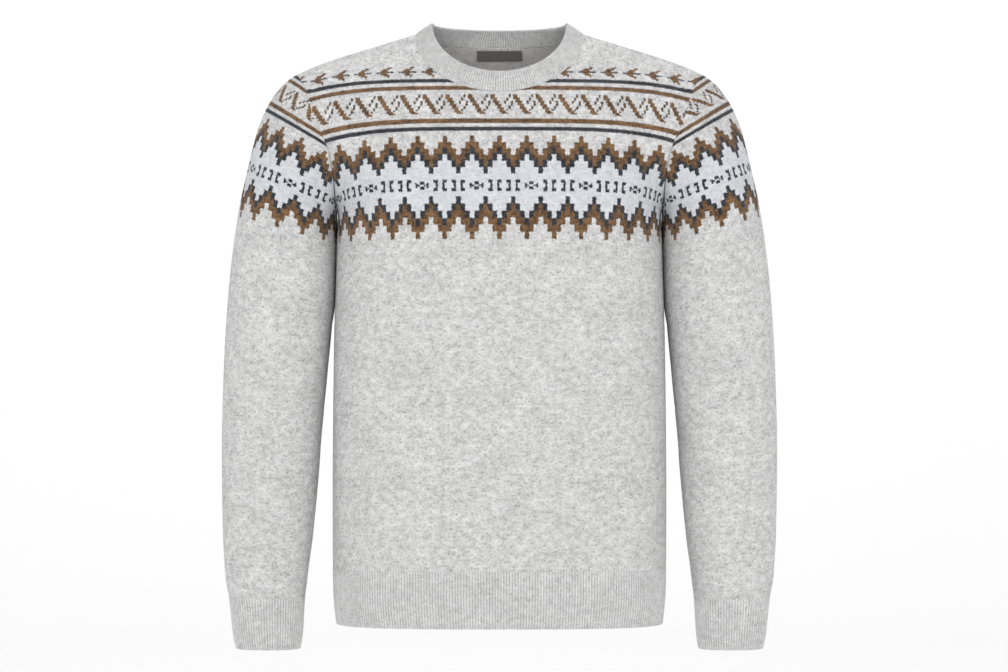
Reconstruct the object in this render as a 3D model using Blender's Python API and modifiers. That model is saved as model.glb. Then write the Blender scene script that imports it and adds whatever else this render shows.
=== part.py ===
"""Fair isle jumper, worn and hollow, with nobody in it.

Metres, +Z up, front towards -Y. The origin is where the garment rests on its wearer's shoulders,
midway between the two points where the shoulder seams meet the neckband.

The two body panels lie on one smooth torso form, a stack of rounded sections. The neck opening,
the shoulder seams and the armholes are lines on that form. Each sleeve starts at its armhole,
turns down over the shoulder and hangs beside the body. Ribbed bands finish the neck, hem and cuffs.
"""
import bpy
from math import copysign, cos, pi, sin
from mathutils import Vector

# ---------------------------------------------------------------- cloth
WALL = 0.0024                # knitted cloth of the body and sleeves
RIB_WALL = 0.0028            # hem and cuff ribbing
NECKBAND_WALL = 0.0032       # neck ribbing, the firmest band
SEAM_PULL = 0.00015          # each piece stops this far short of its seam line
SLEEVE_CLEARANCE = 0.00045   # the sleeve's top edge stands this far outside the armhole

# ---------------------------------------------------------------- torso form
# z, half width, depth in front of the shoulder line, depth behind it, and how square the
# section is, where 2 is an ellipse.
# Above the armpit the half width is that of the shoulder line carried on past the armhole.
FORM = (
    (0.0000, 0.0960, 0.0120, 0.0300, 2.4),
    (-0.0105, 0.1300, 0.0192, 0.0380, 2.4),
    (-0.0298, 0.1920, 0.0318, 0.0530, 2.4),
    (-0.0436, 0.2265, 0.0413, 0.0630, 2.4),
    (-0.0600, 0.2530, 0.0535, 0.0740, 2.4),
    (-0.0800, 0.2710, 0.0680, 0.0860, 2.4),
    (-0.1050, 0.2720, 0.0830, 0.0980, 2.4),
    (-0.1250, 0.2520, 0.0945, 0.1050, 2.4),
    (-0.1500, 0.2220, 0.1050, 0.1105, 2.4),
    (-0.1760, 0.2000, 0.1130, 0.1140, 2.4),
    (-0.2030, 0.1870, 0.1178, 0.1155, 2.4),
    (-0.2500, 0.1867, 0.1204, 0.1142, 2.4),
    (-0.3400, 0.1892, 0.1185, 0.1082, 2.5),
    (-0.4800, 0.1909, 0.1130, 0.1040, 2.7),
    (-0.6100, 0.1907, 0.1110, 0.1050, 2.9),
    (-0.6450, 0.1898, 0.1100, 0.1045, 3.0),
    (-0.6745, 0.1868, 0.1070, 0.1020, 3.0),
)
HALF_WIDTH, FRONT, BACK, SQUARENESS = range(1, 5)   # columns, after z

HEM_Z = -0.6745
RIB_TOP_Z = -0.610
ARMPIT_Z = -0.203
SHOULDER_TIP_Z = -0.0462
NECK_HALF_WIDTH = 0.096
NECK_DROP = {FRONT: 0.0695, BACK: 0.013}

# ---------------------------------------------------------------- armhole seam
# z, half distance between the seams at the front, and at the back
ARMHOLE = (
    (-0.203, 0.1870, 0.1870),
    (-0.192, 0.1870, 0.1875),
    (-0.176, 0.1874, 0.1885),
    (-0.163, 0.1883, 0.1900),
    (-0.149, 0.1903, 0.1925),
    (-0.135, 0.1940, 0.1965),
    (-0.121, 0.1995, 0.2020),
    (-0.105, 0.2070, 0.2090),
    (-0.090, 0.2130, 0.2145),
    (-0.074, 0.2172, 0.2190),
    (-0.060, 0.2235, 0.2250),
)
ARMHOLE_ROWS = 9             # rows of facets up each side of an armhole
SHOULDER_ROWS = 5            # rows of facets along a shoulder seam

# ---------------------------------------------------------------- neckband
NECKBAND_TOP_HALF_WIDTH = 0.0768
NECKBAND_TOP_DEPTH = {FRONT: 0.052, BACK: 0.034}
NECKBAND_TOP_Z = {"side": 0.0130, FRONT: -0.0452, BACK: 0.0077}
NECKBAND_BULGE = 0.0012      # the band rounds outward between its two edges
NECKBAND_ROWS = (0.0, 0.1, 0.5, 0.85, 1.0)           # shares of the way from its seam to its top edge

# ---------------------------------------------------------------- sleeves
# Each row is a ring round the arm. Its plane tilts where the sleeve turns over the shoulder.
# outer x, outer z, inner x, inner z, half depth, y of the ring's middle
SLEEVE = (
    (0.2960, -0.1860, 0.1882, -0.2140, 0.0665, 0.003),
    (0.3020, -0.2220, 0.1878, -0.2500, 0.0660, 0.001),
    (0.3078, -0.2660, 0.1892, -0.2910, 0.0645, 0.000),
    (0.3123, -0.3180, 0.1924, -0.3380, 0.0625, -0.002),
    (0.3154, -0.3740, 0.1970, -0.3890, 0.0600, -0.004),
    (0.3174, -0.4400, 0.2025, -0.4500, 0.0560, -0.007),
    (0.3174, -0.5110, 0.2078, -0.5170, 0.0505, -0.011),
    (0.3158, -0.5750, 0.2136, -0.5780, 0.0445, -0.016),
    (0.3128, -0.6200, 0.2190, -0.6210, 0.0390, -0.020),
    (0.3088, -0.6430, 0.2216, -0.6430, 0.0350, -0.022),
)
CUFF = (
    (0.3088, -0.6430, 0.2216, -0.6430, 0.0350, -0.022),
    (0.3066, -0.6620, 0.2228, -0.6620, 0.0335, -0.023),
    (0.3040, -0.6850, 0.2242, -0.6850, 0.0320, -0.024),
    (0.3006, -0.7025, 0.2266, -0.7025, 0.0295, -0.025),
)
OUTER_X, OUTER_Z, INNER_X, INNER_Z, HALF_DEPTH, MIDDLE_Y = range(6)
SLEEVE_POWER = 2.2
CAP_ROWS = 6                 # rows of facets from the armhole to the first full ring
# the way the sleeve leaves its seam at the shoulder tip, at the front and at the armpit
CAP_OVER_SHOULDER = Vector((0.87, 0.0, -0.49))
CAP_AT_FRONT = Vector((0.62, -0.28, -0.73))
CAP_AT_ARMPIT = Vector((0.10, 0.0, -0.99))
CAP_FULLNESS = 0.34          # length of the cap's tangents, as a part of its span

# ---------------------------------------------------------------- grids
HALF_COLUMNS = 10            # facets from the centre line to the side seam
FINE = 10 * HALF_COLUMNS     # steps of the lines that the columns are spaced on
SECTION_STEPS = 120          # steps of a section's curve before it is spaced evenly
ARMHOLE_STEPS = 160          # steps of an armhole's curve before it is spaced evenly
SEAM_STRIP = 0.0025          # a narrow row of facets follows each seam
HALVINGS = 30                # how closely the seam strip's width is found
BODY_ROW_HEIGHTS = (RIB_TOP_Z, RIB_TOP_Z + SEAM_STRIP, -0.550, -0.480, -0.410, -0.340, -0.270, ARMPIT_Z)
TOP_STRIP = 0.2              # the last row below the neckband, as a part of a row
CAP_STRIP = 0.15             # the first row of a sleeve's cap, as a part of a row
CUFF_STRIP = 0.12            # the last row above a cuff, as a part of a row
HEM_ROW_HEIGHTS = (HEM_Z, HEM_Z + 0.012, (HEM_Z + RIB_TOP_Z) / 2, RIB_TOP_Z - SEAM_STRIP, RIB_TOP_Z)
LABEL_HALF_WIDTH = 0.026
LABEL_HEIGHT = 0.011
LABEL_THICKNESS = 0.0009
LABEL_LIFT = 0.0006          # from the panel's inner face
LABEL_GAP = 0.0012           # below the neckband's seam
LABEL_COLUMNS = 4
LABEL_ROWS = 2
SLOPE_STEP = 0.002           # the form's slope is taken over this distance


# ---------------------------------------------------------------- curves through tables
def along(table, position, column):
    """The column's value at a position in the table's first column, on a smooth curve."""
    last = len(table) - 1
    step = next((i for i in range(last) if table[i + 1][0] <= position), last - 1) \
        if table[0][0] > table[last][0] else \
        next((i for i in range(last) if table[i + 1][0] >= position), last - 1)

    def slope(i):
        before, after = table[max(i - 1, 0)], table[min(i + 1, last)]
        return (after[column] - before[column]) / (after[0] - before[0])

    start, end = table[step], table[step + 1]
    span = end[0] - start[0]
    t = (position - start[0]) / span
    return ((2 * t ** 3 - 3 * t ** 2 + 1) * start[column] + (t ** 3 - 2 * t ** 2 + t) * span * slope(step)
            + (3 * t ** 2 - 2 * t ** 3) * end[column] + (t ** 3 - t ** 2) * span * slope(step + 1))


def evenly(points, count):
    """The given number of steps of equal length along a line of close points."""
    lengths = [0.0]
    for a, b in zip(points, points[1:]):
        lengths.append(lengths[-1] + (b - a).length)
    spaced = []
    for k in range(count + 1):
        target = lengths[-1] * k / count
        i = next((i for i in range(len(points) - 1) if lengths[i + 1] >= target), len(points) - 2)
        t = (target - lengths[i]) / (lengths[i + 1] - lengths[i])
        spaced.append(points[i].lerp(points[i + 1], t))
    return spaced


def bezier(start, start_handle, end_handle, end, t):
    s = 1 - t
    return s ** 3 * start + 3 * s * s * t * start_handle + 3 * s * t * t * end_handle + t ** 3 * end


# ---------------------------------------------------------------- the torso form
def depth_at(x, z, face):
    """How far the form stands from the shoulder line's plane, at the front or at the back."""
    power = along(FORM, z, SQUARENESS)
    across = min(abs(x) / along(FORM, z, HALF_WIDTH), 1.0)
    return along(FORM, z, face) * (1 - across ** power) ** (1 / power)


def on_form(x, z, face):
    y = depth_at(x, z, face)
    return Vector((x, -y if face == FRONT else y, z))


def section_half(z, face, count):
    """Points at equal spacing from the centre line to the side, round one section."""
    width = along(FORM, z, HALF_WIDTH)
    depth = along(FORM, z, face) * (-1 if face == FRONT else 1)
    power = 2 / along(FORM, z, SQUARENESS)
    fine = [Vector((width * sin(a) ** power, depth * abs(cos(a)) ** power, z))
            for a in (pi / 2 * k / SECTION_STEPS for k in range(SECTION_STEPS + 1))]
    fine[0].x = 0.0
    fine[-1].y = 0.0
    return evenly(fine, count)


def neck_line(face, count):
    """The neck seam from the centre line to the shoulder seam, an ellipse seen from the front."""
    angles = [pi / 2 * k / count for k in range(count + 1)]
    return [on_form(NECK_HALF_WIDTH * sin(a), -NECK_DROP[face] * cos(a), face) for a in angles]


def armhole_line(face, count):
    """The armhole seam from the armpit to the shoulder tip."""
    tip_x = along(FORM, SHOULDER_TIP_Z, HALF_WIDTH)
    table = ARMHOLE + ((SHOULDER_TIP_Z, tip_x, tip_x),)
    column = 1 if face == FRONT else 2
    span = SHOULDER_TIP_Z - ARMPIT_Z
    heights = [ARMPIT_Z + span * (1 - cos(pi * k / ARMHOLE_STEPS)) / 2
               for k in range(ARMHOLE_STEPS + 1)]
    fine = [on_form(along(table, z, column), z, face) for z in heights]
    fine[0].y = 0.0
    fine[-1].y = 0.0
    return evenly(fine, count)


def shoulder_line(count):
    """The shoulder seam from its tip to the neckband."""
    heights = [SHOULDER_TIP_Z * (1 - k / count) for k in range(count + 1)]
    return [Vector((along(FORM, z, HALF_WIDTH), 0.0, z)) for z in heights]


# ---------------------------------------------------------------- grids of the pieces
COLUMN_SHARES = [k / HALF_COLUMNS for k in range(HALF_COLUMNS + 1)]


def with_seam_strip(point_at):
    """A row from the centre line to the seam at share 1, with one more point beside the seam."""
    edge = point_at(1.0)
    near, far = 1.0, COLUMN_SHARES[-2]
    for _ in range(HALVINGS):
        middle = (near + far) / 2
        if (point_at(middle) - edge).length > SEAM_STRIP:
            far = middle
        else:
            near = middle
    return [point_at(s) for s in COLUMN_SHARES[:-1]] + [point_at(near), edge]


def at_share(line, share):
    """The point at a share of a line of evenly spaced points."""
    place = share * (len(line) - 1)
    i = min(int(place), len(line) - 2)
    return line[i].lerp(line[i + 1], place - i)


def body_panel(face):
    """The right half of the front or back: rows from the hem rib to the neckband."""
    rows = []
    for z in BODY_ROW_HEIGHTS:
        section = section_half(z, face, FINE)
        rows.append(with_seam_strip(lambda share: at_share(section, share)))

    # Above the armpit a row runs from the centre line to the armhole or the shoulder seam. Seen
    # from the front it is blended from the four lines round it, and the form gives its depth.
    bottom, top = section_half(ARMPIT_Z, face, FINE), neck_line(face, FINE)
    side = armhole_line(face, ARMHOLE_ROWS) + shoulder_line(SHOULDER_ROWS)[1:]
    steps = len(side) - 1
    for place in list(range(1, steps)) + [steps - TOP_STRIP, steps]:
        t = place / steps
        edge = at_share(side, t)

        def point_at(share):
            if share == 1.0:
                return edge.copy()
            low, high = at_share(bottom, share), at_share(top, share)
            x = (1 - t) * low.x + t * high.x + share * (edge.x - (1 - t) * bottom[-1].x - t * top[-1].x)
            z = ((1 - t) * low.z + t * high.z
                 + share * (edge.z - (1 - t) * bottom[-1].z - t * top[-1].z))
            return on_form(x, z, face)

        rows.append(with_seam_strip(point_at))
    return rows


def ring_point(row, angle):
    """A point round a sleeve ring. Angle 0 is the outer side, pi / 2 the front."""
    power = 2 / SLEEVE_POWER
    outward = copysign(abs(cos(angle)) ** power, cos(angle))
    forward = copysign(abs(sin(angle)) ** power, sin(angle))
    x = (row[OUTER_X] + row[INNER_X]) / 2 + outward * (row[OUTER_X] - row[INNER_X]) / 2
    z = (row[OUTER_Z] + row[INNER_Z]) / 2 + outward * (row[OUTER_Z] - row[INNER_Z]) / 2
    return Vector((x, row[MIDDLE_Y] - forward * row[HALF_DEPTH], z))


def ring_angles():
    """Angles round a sleeve, one for each vertex of the armhole, evenly spread on each half."""
    return [pi * k / ARMHOLE_ROWS for k in range(2 * ARMHOLE_ROWS)]


def cap_direction(angle):
    over, front, under = max(cos(angle), 0) ** 2, sin(angle) ** 2, max(-cos(angle), 0) ** 2
    at_side = Vector((CAP_AT_FRONT.x, copysign(CAP_AT_FRONT.y, -sin(angle)), CAP_AT_FRONT.z))
    return (over * CAP_OVER_SHOULDER + front * at_side + under * CAP_AT_ARMPIT).normalized()


def sleeve_rows():
    """Rings of the right sleeve from its armhole to its cuff seam."""
    front = armhole_line(FRONT, ARMHOLE_ROWS)[::-1]
    back = armhole_line(BACK, ARMHOLE_ROWS)
    tip, armpit = front[0], front[-1]
    across = (tip - armpit).normalized()
    outward = Vector((across.z, 0.0, -across.x))
    armhole = [p + SLEEVE_CLEARANCE * outward for p in front + back[1:-1]]
    first = SLEEVE[0]
    axis = Vector((first[OUTER_Z] - first[INNER_Z], 0.0, first[INNER_X] - first[OUTER_X])).normalized()
    rows = []
    for k in [0, CAP_STRIP] + list(range(1, CAP_ROWS)):
        t = k / CAP_ROWS
        row = []
        for start, angle in zip(armhole, ring_angles()):
            end = ring_point(first, angle)
            reach = CAP_FULLNESS * (end - start).length
            row.append(bezier(start, start + reach * cap_direction(angle), end - reach * axis, end, t))
        rows.append(row)
    rows += [[ring_point(row, angle) for angle in ring_angles()] for row in SLEEVE[:-1]]
    last, previous = SLEEVE[-1], SLEEVE[-2]
    near = tuple(b + (a - b) * CUFF_STRIP for a, b in zip(previous, last))
    rows += [[ring_point(row, angle) for angle in ring_angles()] for row in (near, last)]
    return rows


def cuff_rows():
    return [[ring_point(row, angle) for angle in ring_angles()] for row in CUFF]


def half_round(face_lines):
    """One row round half the body, from the centre front to the centre back."""
    front, back = face_lines
    return front + back[::-1][1:]


def neckband_rows():
    """Rows round the right half of the neckband, from its seam to its top edge."""
    lows = {face: [at_share(neck_line(face, FINE), s) for s in COLUMN_SHARES] for face in (FRONT, BACK)}
    rows = []
    for t in NECKBAND_ROWS:
        lines = []
        for face in (FRONT, BACK):
            line = []
            for low, share in zip(lows[face], COLUMN_SHARES):
                angle = pi / 2 * share
                side_z, centre_z = NECKBAND_TOP_Z["side"], NECKBAND_TOP_Z[face]
                depth = NECKBAND_TOP_DEPTH[face] * cos(angle) * (-1 if face == FRONT else 1)
                high = Vector((NECKBAND_TOP_HALF_WIDTH * sin(angle), depth,
                               side_z + (centre_z - side_z) * cos(angle)))
                away = Vector((low.x, low.y, 0.0)).normalized()
                point = low.lerp(high, t) + away * NECKBAND_BULGE * 4 * t * (1 - t)
                point.x = 0.0 if share == 0 else point.x
                line.append(point)
            lines.append(line)
        rows.append(half_round(lines))
    return rows


def hem_rows():
    """Rows round the right half of the hem rib, from its edge to the body's seam."""
    rows = []
    for z in HEM_ROW_HEIGHTS:
        rows.append(half_round([section_half(z, face, HALF_COLUMNS) for face in (FRONT, BACK)]))
    return rows


def label_rows():
    """The neck label's face on the panel: the back panel's inner points, moved further inward."""
    top_z = -NECK_DROP[BACK] - LABEL_GAP
    rows = []
    for k in range(LABEL_ROWS + 1):
        z = top_z - LABEL_HEIGHT * k / LABEL_ROWS
        row = []
        for c in range(LABEL_COLUMNS + 1):
            x = LABEL_HALF_WIDTH * c / LABEL_COLUMNS
            here = on_form(x, z, BACK)
            beside = on_form(x + SLOPE_STEP, z, BACK) - here
            below = on_form(x, z - SLOPE_STEP, BACK) - here
            inward = below.cross(beside).normalized()
            inward = inward if inward.y < 0 else -inward
            row.append(here + inward * (WALL + LABEL_LIFT))
        row[0].x = 0.0
        rows.append(row)
    return rows


# ---------------------------------------------------------------- making the pieces
def pull_back(rows, ends=(True, True), side=False):
    """Draw the edges of a piece back from the seam lines that it shares with its neighbours."""
    if ends[0]:
        rows[0] = [p + (q - p).normalized() * SEAM_PULL for p, q in zip(rows[0], rows[1])]
    if ends[1]:
        rows[-1] = [p + (q - p).normalized() * SEAM_PULL for p, q in zip(rows[-1], rows[-2])]
    if side:
        for row in rows:
            row[-1] = row[-1] + (row[-2] - row[-1]).normalized() * SEAM_PULL
    return rows


def cloth_material(name, colour, roughness):
    material = bpy.data.materials.new(name)
    material.use_nodes = True
    material.diffuse_color = (*colour, 1.0)
    shader = material.node_tree.nodes["Principled BSDF"]
    shader.inputs["Base Color"].default_value = (*colour, 1.0)
    shader.inputs["Roughness"].default_value = roughness
    shader.inputs["Metallic"].default_value = 0.0
    return material


def cloth_piece(name, rows, wall, material, closed=False, mirrored=False, flip=False):
    """A loft through rows of points, doubled across the middle if mirrored, with a cloth's wall."""
    count = len(rows[0])
    points = [p for row in rows for p in row]
    faces = []
    for r in range(len(rows) - 1):
        for c in range(count if closed else count - 1):
            d = (c + 1) % count
            face = (r * count + c, r * count + d, (r + 1) * count + d, (r + 1) * count + c)
            faces.append(face[::-1] if flip else face)
    mesh = bpy.data.meshes.new(name)
    mesh.from_pydata(points, [], faces)
    mesh.materials.append(material)
    mesh.shade_smooth()
    piece = bpy.data.objects.new(name, mesh)
    garment.objects.link(piece)
    piece.parent = root
    if mirrored:
        mirror = piece.modifiers.new("Other half", "MIRROR")
        mirror.use_clip = True
        mirror.merge_threshold = 0.00005
    solidify = piece.modifiers.new("Cloth", "SOLIDIFY")
    solidify.thickness = wall
    solidify.offset = -1.0
    return piece


def mirror_points(rows):
    return [[Vector((-p.x, p.y, p.z)) for p in row] for row in rows]


for old in list(bpy.data.objects):
    bpy.data.objects.remove(old, do_unlink=True)

garment = bpy.data.collections.new("Fair isle jumper")
bpy.context.scene.collection.children.link(garment)
root = bpy.data.objects.new("fair_isle_jumper", None)
garment.objects.link(root)

marl = {name: cloth_material(f"{name} marl knit", (0.62, 0.63, 0.64), 0.95)
        for name in ("Front", "Back", "Left sleeve", "Right sleeve")}
rib = {name: cloth_material(f"{name} grey rib", (0.60, 0.61, 0.62), 0.92)
       for name in ("Hem", "Neckband", "Left cuff", "Right cuff")}
label_grey = cloth_material("Label grey", (0.10, 0.10, 0.11), 0.8)

cloth_piece("front", pull_back(body_panel(FRONT), side=True), WALL, marl["Front"], mirrored=True)
cloth_piece("back", pull_back(body_panel(BACK), side=True), WALL, marl["Back"], mirrored=True, flip=True)
cloth_piece("hem_rib", pull_back(hem_rows(), ends=(False, True)), RIB_WALL, rib["Hem"], mirrored=True)
cloth_piece("neckband", pull_back(neckband_rows(), ends=(True, False)), NECKBAND_WALL,
            rib["Neckband"], mirrored=True)
for side in ("Left", "Right"):
    sleeve = pull_back(sleeve_rows(), ends=(False, True))
    cuff = pull_back(cuff_rows(), ends=(True, False))
    if side == "Right":
        sleeve, cuff = mirror_points(sleeve), mirror_points(cuff)
    low = side.lower()
    cloth_piece(f"sleeve_{low}", sleeve, WALL, marl[f"{side} sleeve"], closed=True, flip=side == "Right")
    cloth_piece(f"cuff_{low}", cuff, RIB_WALL, rib[f"{side} cuff"], closed=True, flip=side == "Right")
cloth_piece("neck_label", label_rows(), LABEL_THICKNESS, label_grey, mirrored=True)
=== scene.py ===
# %% [markdown]
# # A fair isle jumper
#
# The real garment is a fine knit in pale marl wool. Its yoke and upper sleeves carry bands of
# brown, navy and off-white worked in fair isle, and its neck, hem and cuffs are ribbed. It is
# shown filled out, as if worn, with nobody in it. Each cell below makes one part of that: first
# the view and the light, then the form, the yarns and stitches, and the pieces one by one.

# %% Load the frame
from math import cos, pi, radians, sin

import bpy
import numpy as np
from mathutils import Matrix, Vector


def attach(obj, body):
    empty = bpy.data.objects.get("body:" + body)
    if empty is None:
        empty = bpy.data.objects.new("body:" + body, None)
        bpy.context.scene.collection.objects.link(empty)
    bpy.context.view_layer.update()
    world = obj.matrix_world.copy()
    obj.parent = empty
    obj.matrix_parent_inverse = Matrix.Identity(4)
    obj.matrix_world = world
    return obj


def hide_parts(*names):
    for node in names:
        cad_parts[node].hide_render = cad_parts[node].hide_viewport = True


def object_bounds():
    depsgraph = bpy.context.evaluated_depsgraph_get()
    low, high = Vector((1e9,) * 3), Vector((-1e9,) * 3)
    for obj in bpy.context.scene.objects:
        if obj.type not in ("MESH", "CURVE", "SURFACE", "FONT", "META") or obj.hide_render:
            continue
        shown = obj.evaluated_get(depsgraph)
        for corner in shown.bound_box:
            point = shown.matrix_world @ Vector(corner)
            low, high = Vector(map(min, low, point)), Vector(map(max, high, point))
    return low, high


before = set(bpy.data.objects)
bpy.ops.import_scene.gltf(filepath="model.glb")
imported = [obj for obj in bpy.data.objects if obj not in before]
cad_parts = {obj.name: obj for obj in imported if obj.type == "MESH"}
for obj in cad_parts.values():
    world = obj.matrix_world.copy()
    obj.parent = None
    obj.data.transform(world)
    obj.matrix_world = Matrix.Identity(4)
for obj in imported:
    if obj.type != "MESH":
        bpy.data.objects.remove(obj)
cad_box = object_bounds()
print("nodes in the frame:", sorted(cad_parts))

# %% [markdown]
# ## Camera, floor and light
#
# A shop shows a jumper square on, from far enough away that the sleeves and the body keep
# their proportions. A long lens four metres back does that. It stands level with the middle of
# the garment.

# %% Camera
CAMERA_DISTANCE = 4.0
CAMERA_HEIGHT = -0.3464       # below the shoulder line
LENS_MM = 124.5
SIDEWAYS_SHIFT = 0.0045       # the garment hangs slightly left of the middle of the view

camera_data = bpy.data.cameras.new("Camera")
camera_data.lens = LENS_MM
camera_data.sensor_width = 36.0
camera_data.shift_x = SIDEWAYS_SHIFT
camera_data.clip_end = 50.0
camera = bpy.data.objects.new("Camera", camera_data)
camera.location = (0.0, -CAMERA_DISTANCE, CAMERA_HEIGHT)
camera.rotation_euler = (pi / 2, 0.0, 0.0)
bpy.context.scene.collection.objects.link(camera)
bpy.context.scene.camera = camera
print("camera", tuple(camera.location))

# %% [markdown]
# The floor is one wide sheet that curves up behind the garment, as in a studio's cove, so
# no horizon shows. The light is soft and comes from nearly everywhere, because a shop wants the
# yarn's own colours: a pale world, a large lamp on each side and one overhead.

# %% Cove and lamps
FLOOR_Z = cad_box[0].z - 0.25
COVE_RADIUS = 1.2
COVE_BACK = 3.0
COVE_HALF_WIDTH = 7.0
COVE_FRONT = -7.0
COVE_TOP = 5.0
COVE_STEPS = 16
PAPER = (0.98, 0.98, 0.98)
WORLD_STRENGTH = 0.86


def plain_material(name, colour, roughness):
    material = bpy.data.materials.new(name)
    material.use_nodes = True
    shader = material.node_tree.nodes["Principled BSDF"]
    shader.inputs["Base Color"].default_value = (*colour, 1.0)
    shader.inputs["Roughness"].default_value = roughness
    return material


def cove():
    profile = [(COVE_FRONT, FLOOR_Z)]
    for k in range(COVE_STEPS + 1):
        angle = pi / 2 * k / COVE_STEPS
        profile.append((COVE_BACK + COVE_RADIUS * sin(angle), FLOOR_Z + COVE_RADIUS * (1 - cos(angle))))
    profile.append((COVE_BACK + COVE_RADIUS, COVE_TOP))
    points = [(x, y, z) for y, z in profile for x in (-COVE_HALF_WIDTH, COVE_HALF_WIDTH)]
    faces = [(2 * k, 2 * k + 1, 2 * k + 3, 2 * k + 2) for k in range(len(profile) - 1)]
    mesh = bpy.data.meshes.new("cove")
    mesh.from_pydata(points, [], faces)
    mesh.shade_smooth()
    mesh.materials.append(plain_material("Pale paper", PAPER, 0.9))
    sheet = bpy.data.objects.new("cove", mesh)
    bpy.context.scene.collection.objects.link(sheet)


def lamp(name, place, turn, size, watts):
    data = bpy.data.lights.new(name, "AREA")
    data.shape = "RECTANGLE"
    data.size, data.size_y = size
    data.energy = watts
    light = bpy.data.objects.new(name, data)
    light.location = place
    light.rotation_euler = [radians(a) for a in turn]
    bpy.context.scene.collection.objects.link(light)


cove()
lamp("Key", (-2.0, -3.4, 1.1), (68, 0, -30), (2.4, 2.4), 50)
lamp("Fill", (2.3, -3.2, 0.5), (76, 0, 36), (2.4, 2.4), 38)
lamp("Top", (0.0, 0.3, 2.6), (0, 0, 0), (3.0, 2.0), 8)
world = bpy.data.worlds.new("Soft studio")
world.use_nodes = True
world.node_tree.nodes["Background"].inputs["Color"].default_value = (1.0, 1.0, 1.0, 1.0)
world.node_tree.nodes["Background"].inputs["Strength"].default_value = WORLD_STRENGTH
bpy.context.scene.world = world
bpy.context.scene.view_settings.view_transform = "Standard"
print("floor at", round(FLOOR_Z, 3))

# %% [markdown]
# ## The form
#
# A jumper that is worn has one smooth torso form, wide and flat like a body, and a sleeve that
# turns down over each shoulder. A pattern cutter writes such a form as a table of sections. The
# tables below are the ones that the frame was made from, so the cloth lies where the frame does.
# A Hermite curve runs smoothly through each column, which here is done for many heights at once.

# %% Sizes of the garment
WALL = 0.0024                 # knitted cloth of the body and sleeves
RIB_WALL = 0.0022             # hem and cuff ribbing, between its ribs
NECKBAND_WALL = 0.0026        # neck ribbing, between its ribs
SEAM_PULL = 0.00002           # pieces meet this close to their shared seam line
SLEEVE_CLEARANCE = 0.00006    # the sleeve's top edge stands this far outside the armhole
HEM_Z, RIB_TOP_Z, ARMPIT_Z, SHOULDER_TIP_Z = -0.6745, -0.610, -0.203, -0.0462
NECK_HALF_WIDTH = 0.096
FRONT, BACK = 2, 3            # the form's columns that hold each face's depth
NECK_DROP = {FRONT: 0.0695, BACK: 0.013}

# z, half width, depth at the front, depth at the back, how square the section is
FORM = np.array((
    (0.0000, 0.0960, 0.0120, 0.0300, 2.4), (-0.0105, 0.1300, 0.0192, 0.0380, 2.4),
    (-0.0298, 0.1920, 0.0318, 0.0530, 2.4), (-0.0436, 0.2265, 0.0413, 0.0630, 2.4),
    (-0.0600, 0.2530, 0.0535, 0.0740, 2.4), (-0.0800, 0.2710, 0.0680, 0.0860, 2.4),
    (-0.1050, 0.2720, 0.0830, 0.0980, 2.4), (-0.1250, 0.2520, 0.0945, 0.1050, 2.4),
    (-0.1500, 0.2220, 0.1050, 0.1105, 2.4), (-0.1760, 0.2000, 0.1130, 0.1140, 2.4),
    (-0.2030, 0.1870, 0.1178, 0.1155, 2.4), (-0.2500, 0.1867, 0.1204, 0.1142, 2.4),
    (-0.3400, 0.1892, 0.1185, 0.1082, 2.5), (-0.4800, 0.1909, 0.1130, 0.1040, 2.7),
    (-0.6100, 0.1907, 0.1110, 0.1050, 2.9), (-0.6450, 0.1898, 0.1100, 0.1045, 3.0),
    (-0.6745, 0.1868, 0.1070, 0.1020, 3.0),
))
HALF_WIDTH, SQUARENESS = 1, 4

# z, half distance between the armhole seams at the front, and at the back
ARMHOLE = np.array((
    (-0.203, 0.1870, 0.1870), (-0.192, 0.1870, 0.1875), (-0.176, 0.1874, 0.1885),
    (-0.163, 0.1883, 0.1900), (-0.149, 0.1903, 0.1925), (-0.135, 0.1940, 0.1965),
    (-0.121, 0.1995, 0.2020), (-0.105, 0.2070, 0.2090), (-0.090, 0.2130, 0.2145),
    (-0.074, 0.2172, 0.2190), (-0.060, 0.2235, 0.2250),
))

# outer x, outer z, inner x, inner z, half depth, y of the ring's middle
SLEEVE = np.array((
    (0.2960, -0.1860, 0.1882, -0.2140, 0.0665, 0.003), (0.3020, -0.2220, 0.1878, -0.2500, 0.0660, 0.001),
    (0.3078, -0.2660, 0.1892, -0.2910, 0.0645, 0.000), (0.3123, -0.3180, 0.1924, -0.3380, 0.0625, -0.002),
    (0.3154, -0.3740, 0.1970, -0.3890, 0.0600, -0.004), (0.3174, -0.4400, 0.2025, -0.4500, 0.0560, -0.007),
    (0.3174, -0.5110, 0.2078, -0.5170, 0.0505, -0.011), (0.3158, -0.5750, 0.2136, -0.5780, 0.0445, -0.016),
    (0.3128, -0.6200, 0.2190, -0.6210, 0.0390, -0.020), (0.3088, -0.6430, 0.2216, -0.6430, 0.0350, -0.022),
))
CUFF = np.array((
    (0.3088, -0.6430, 0.2216, -0.6430, 0.0350, -0.022), (0.3066, -0.6620, 0.2228, -0.6620, 0.0335, -0.023),
    (0.3040, -0.6850, 0.2242, -0.6850, 0.0320, -0.024), (0.3006, -0.7025, 0.2266, -0.7025, 0.0295, -0.025),
))
SLEEVE_POWER = 2.2
CAP_OVER_SHOULDER = np.array((0.87, 0.0, -0.49))
CAP_AT_FRONT = np.array((0.62, -0.28, -0.73))
CAP_AT_ARMPIT = np.array((0.10, 0.0, -0.99))
CAP_FULLNESS = 0.34


# %% Curves through the tables
SECTION_STEPS = 600           # points of a quarter section before it is spaced evenly


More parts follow.
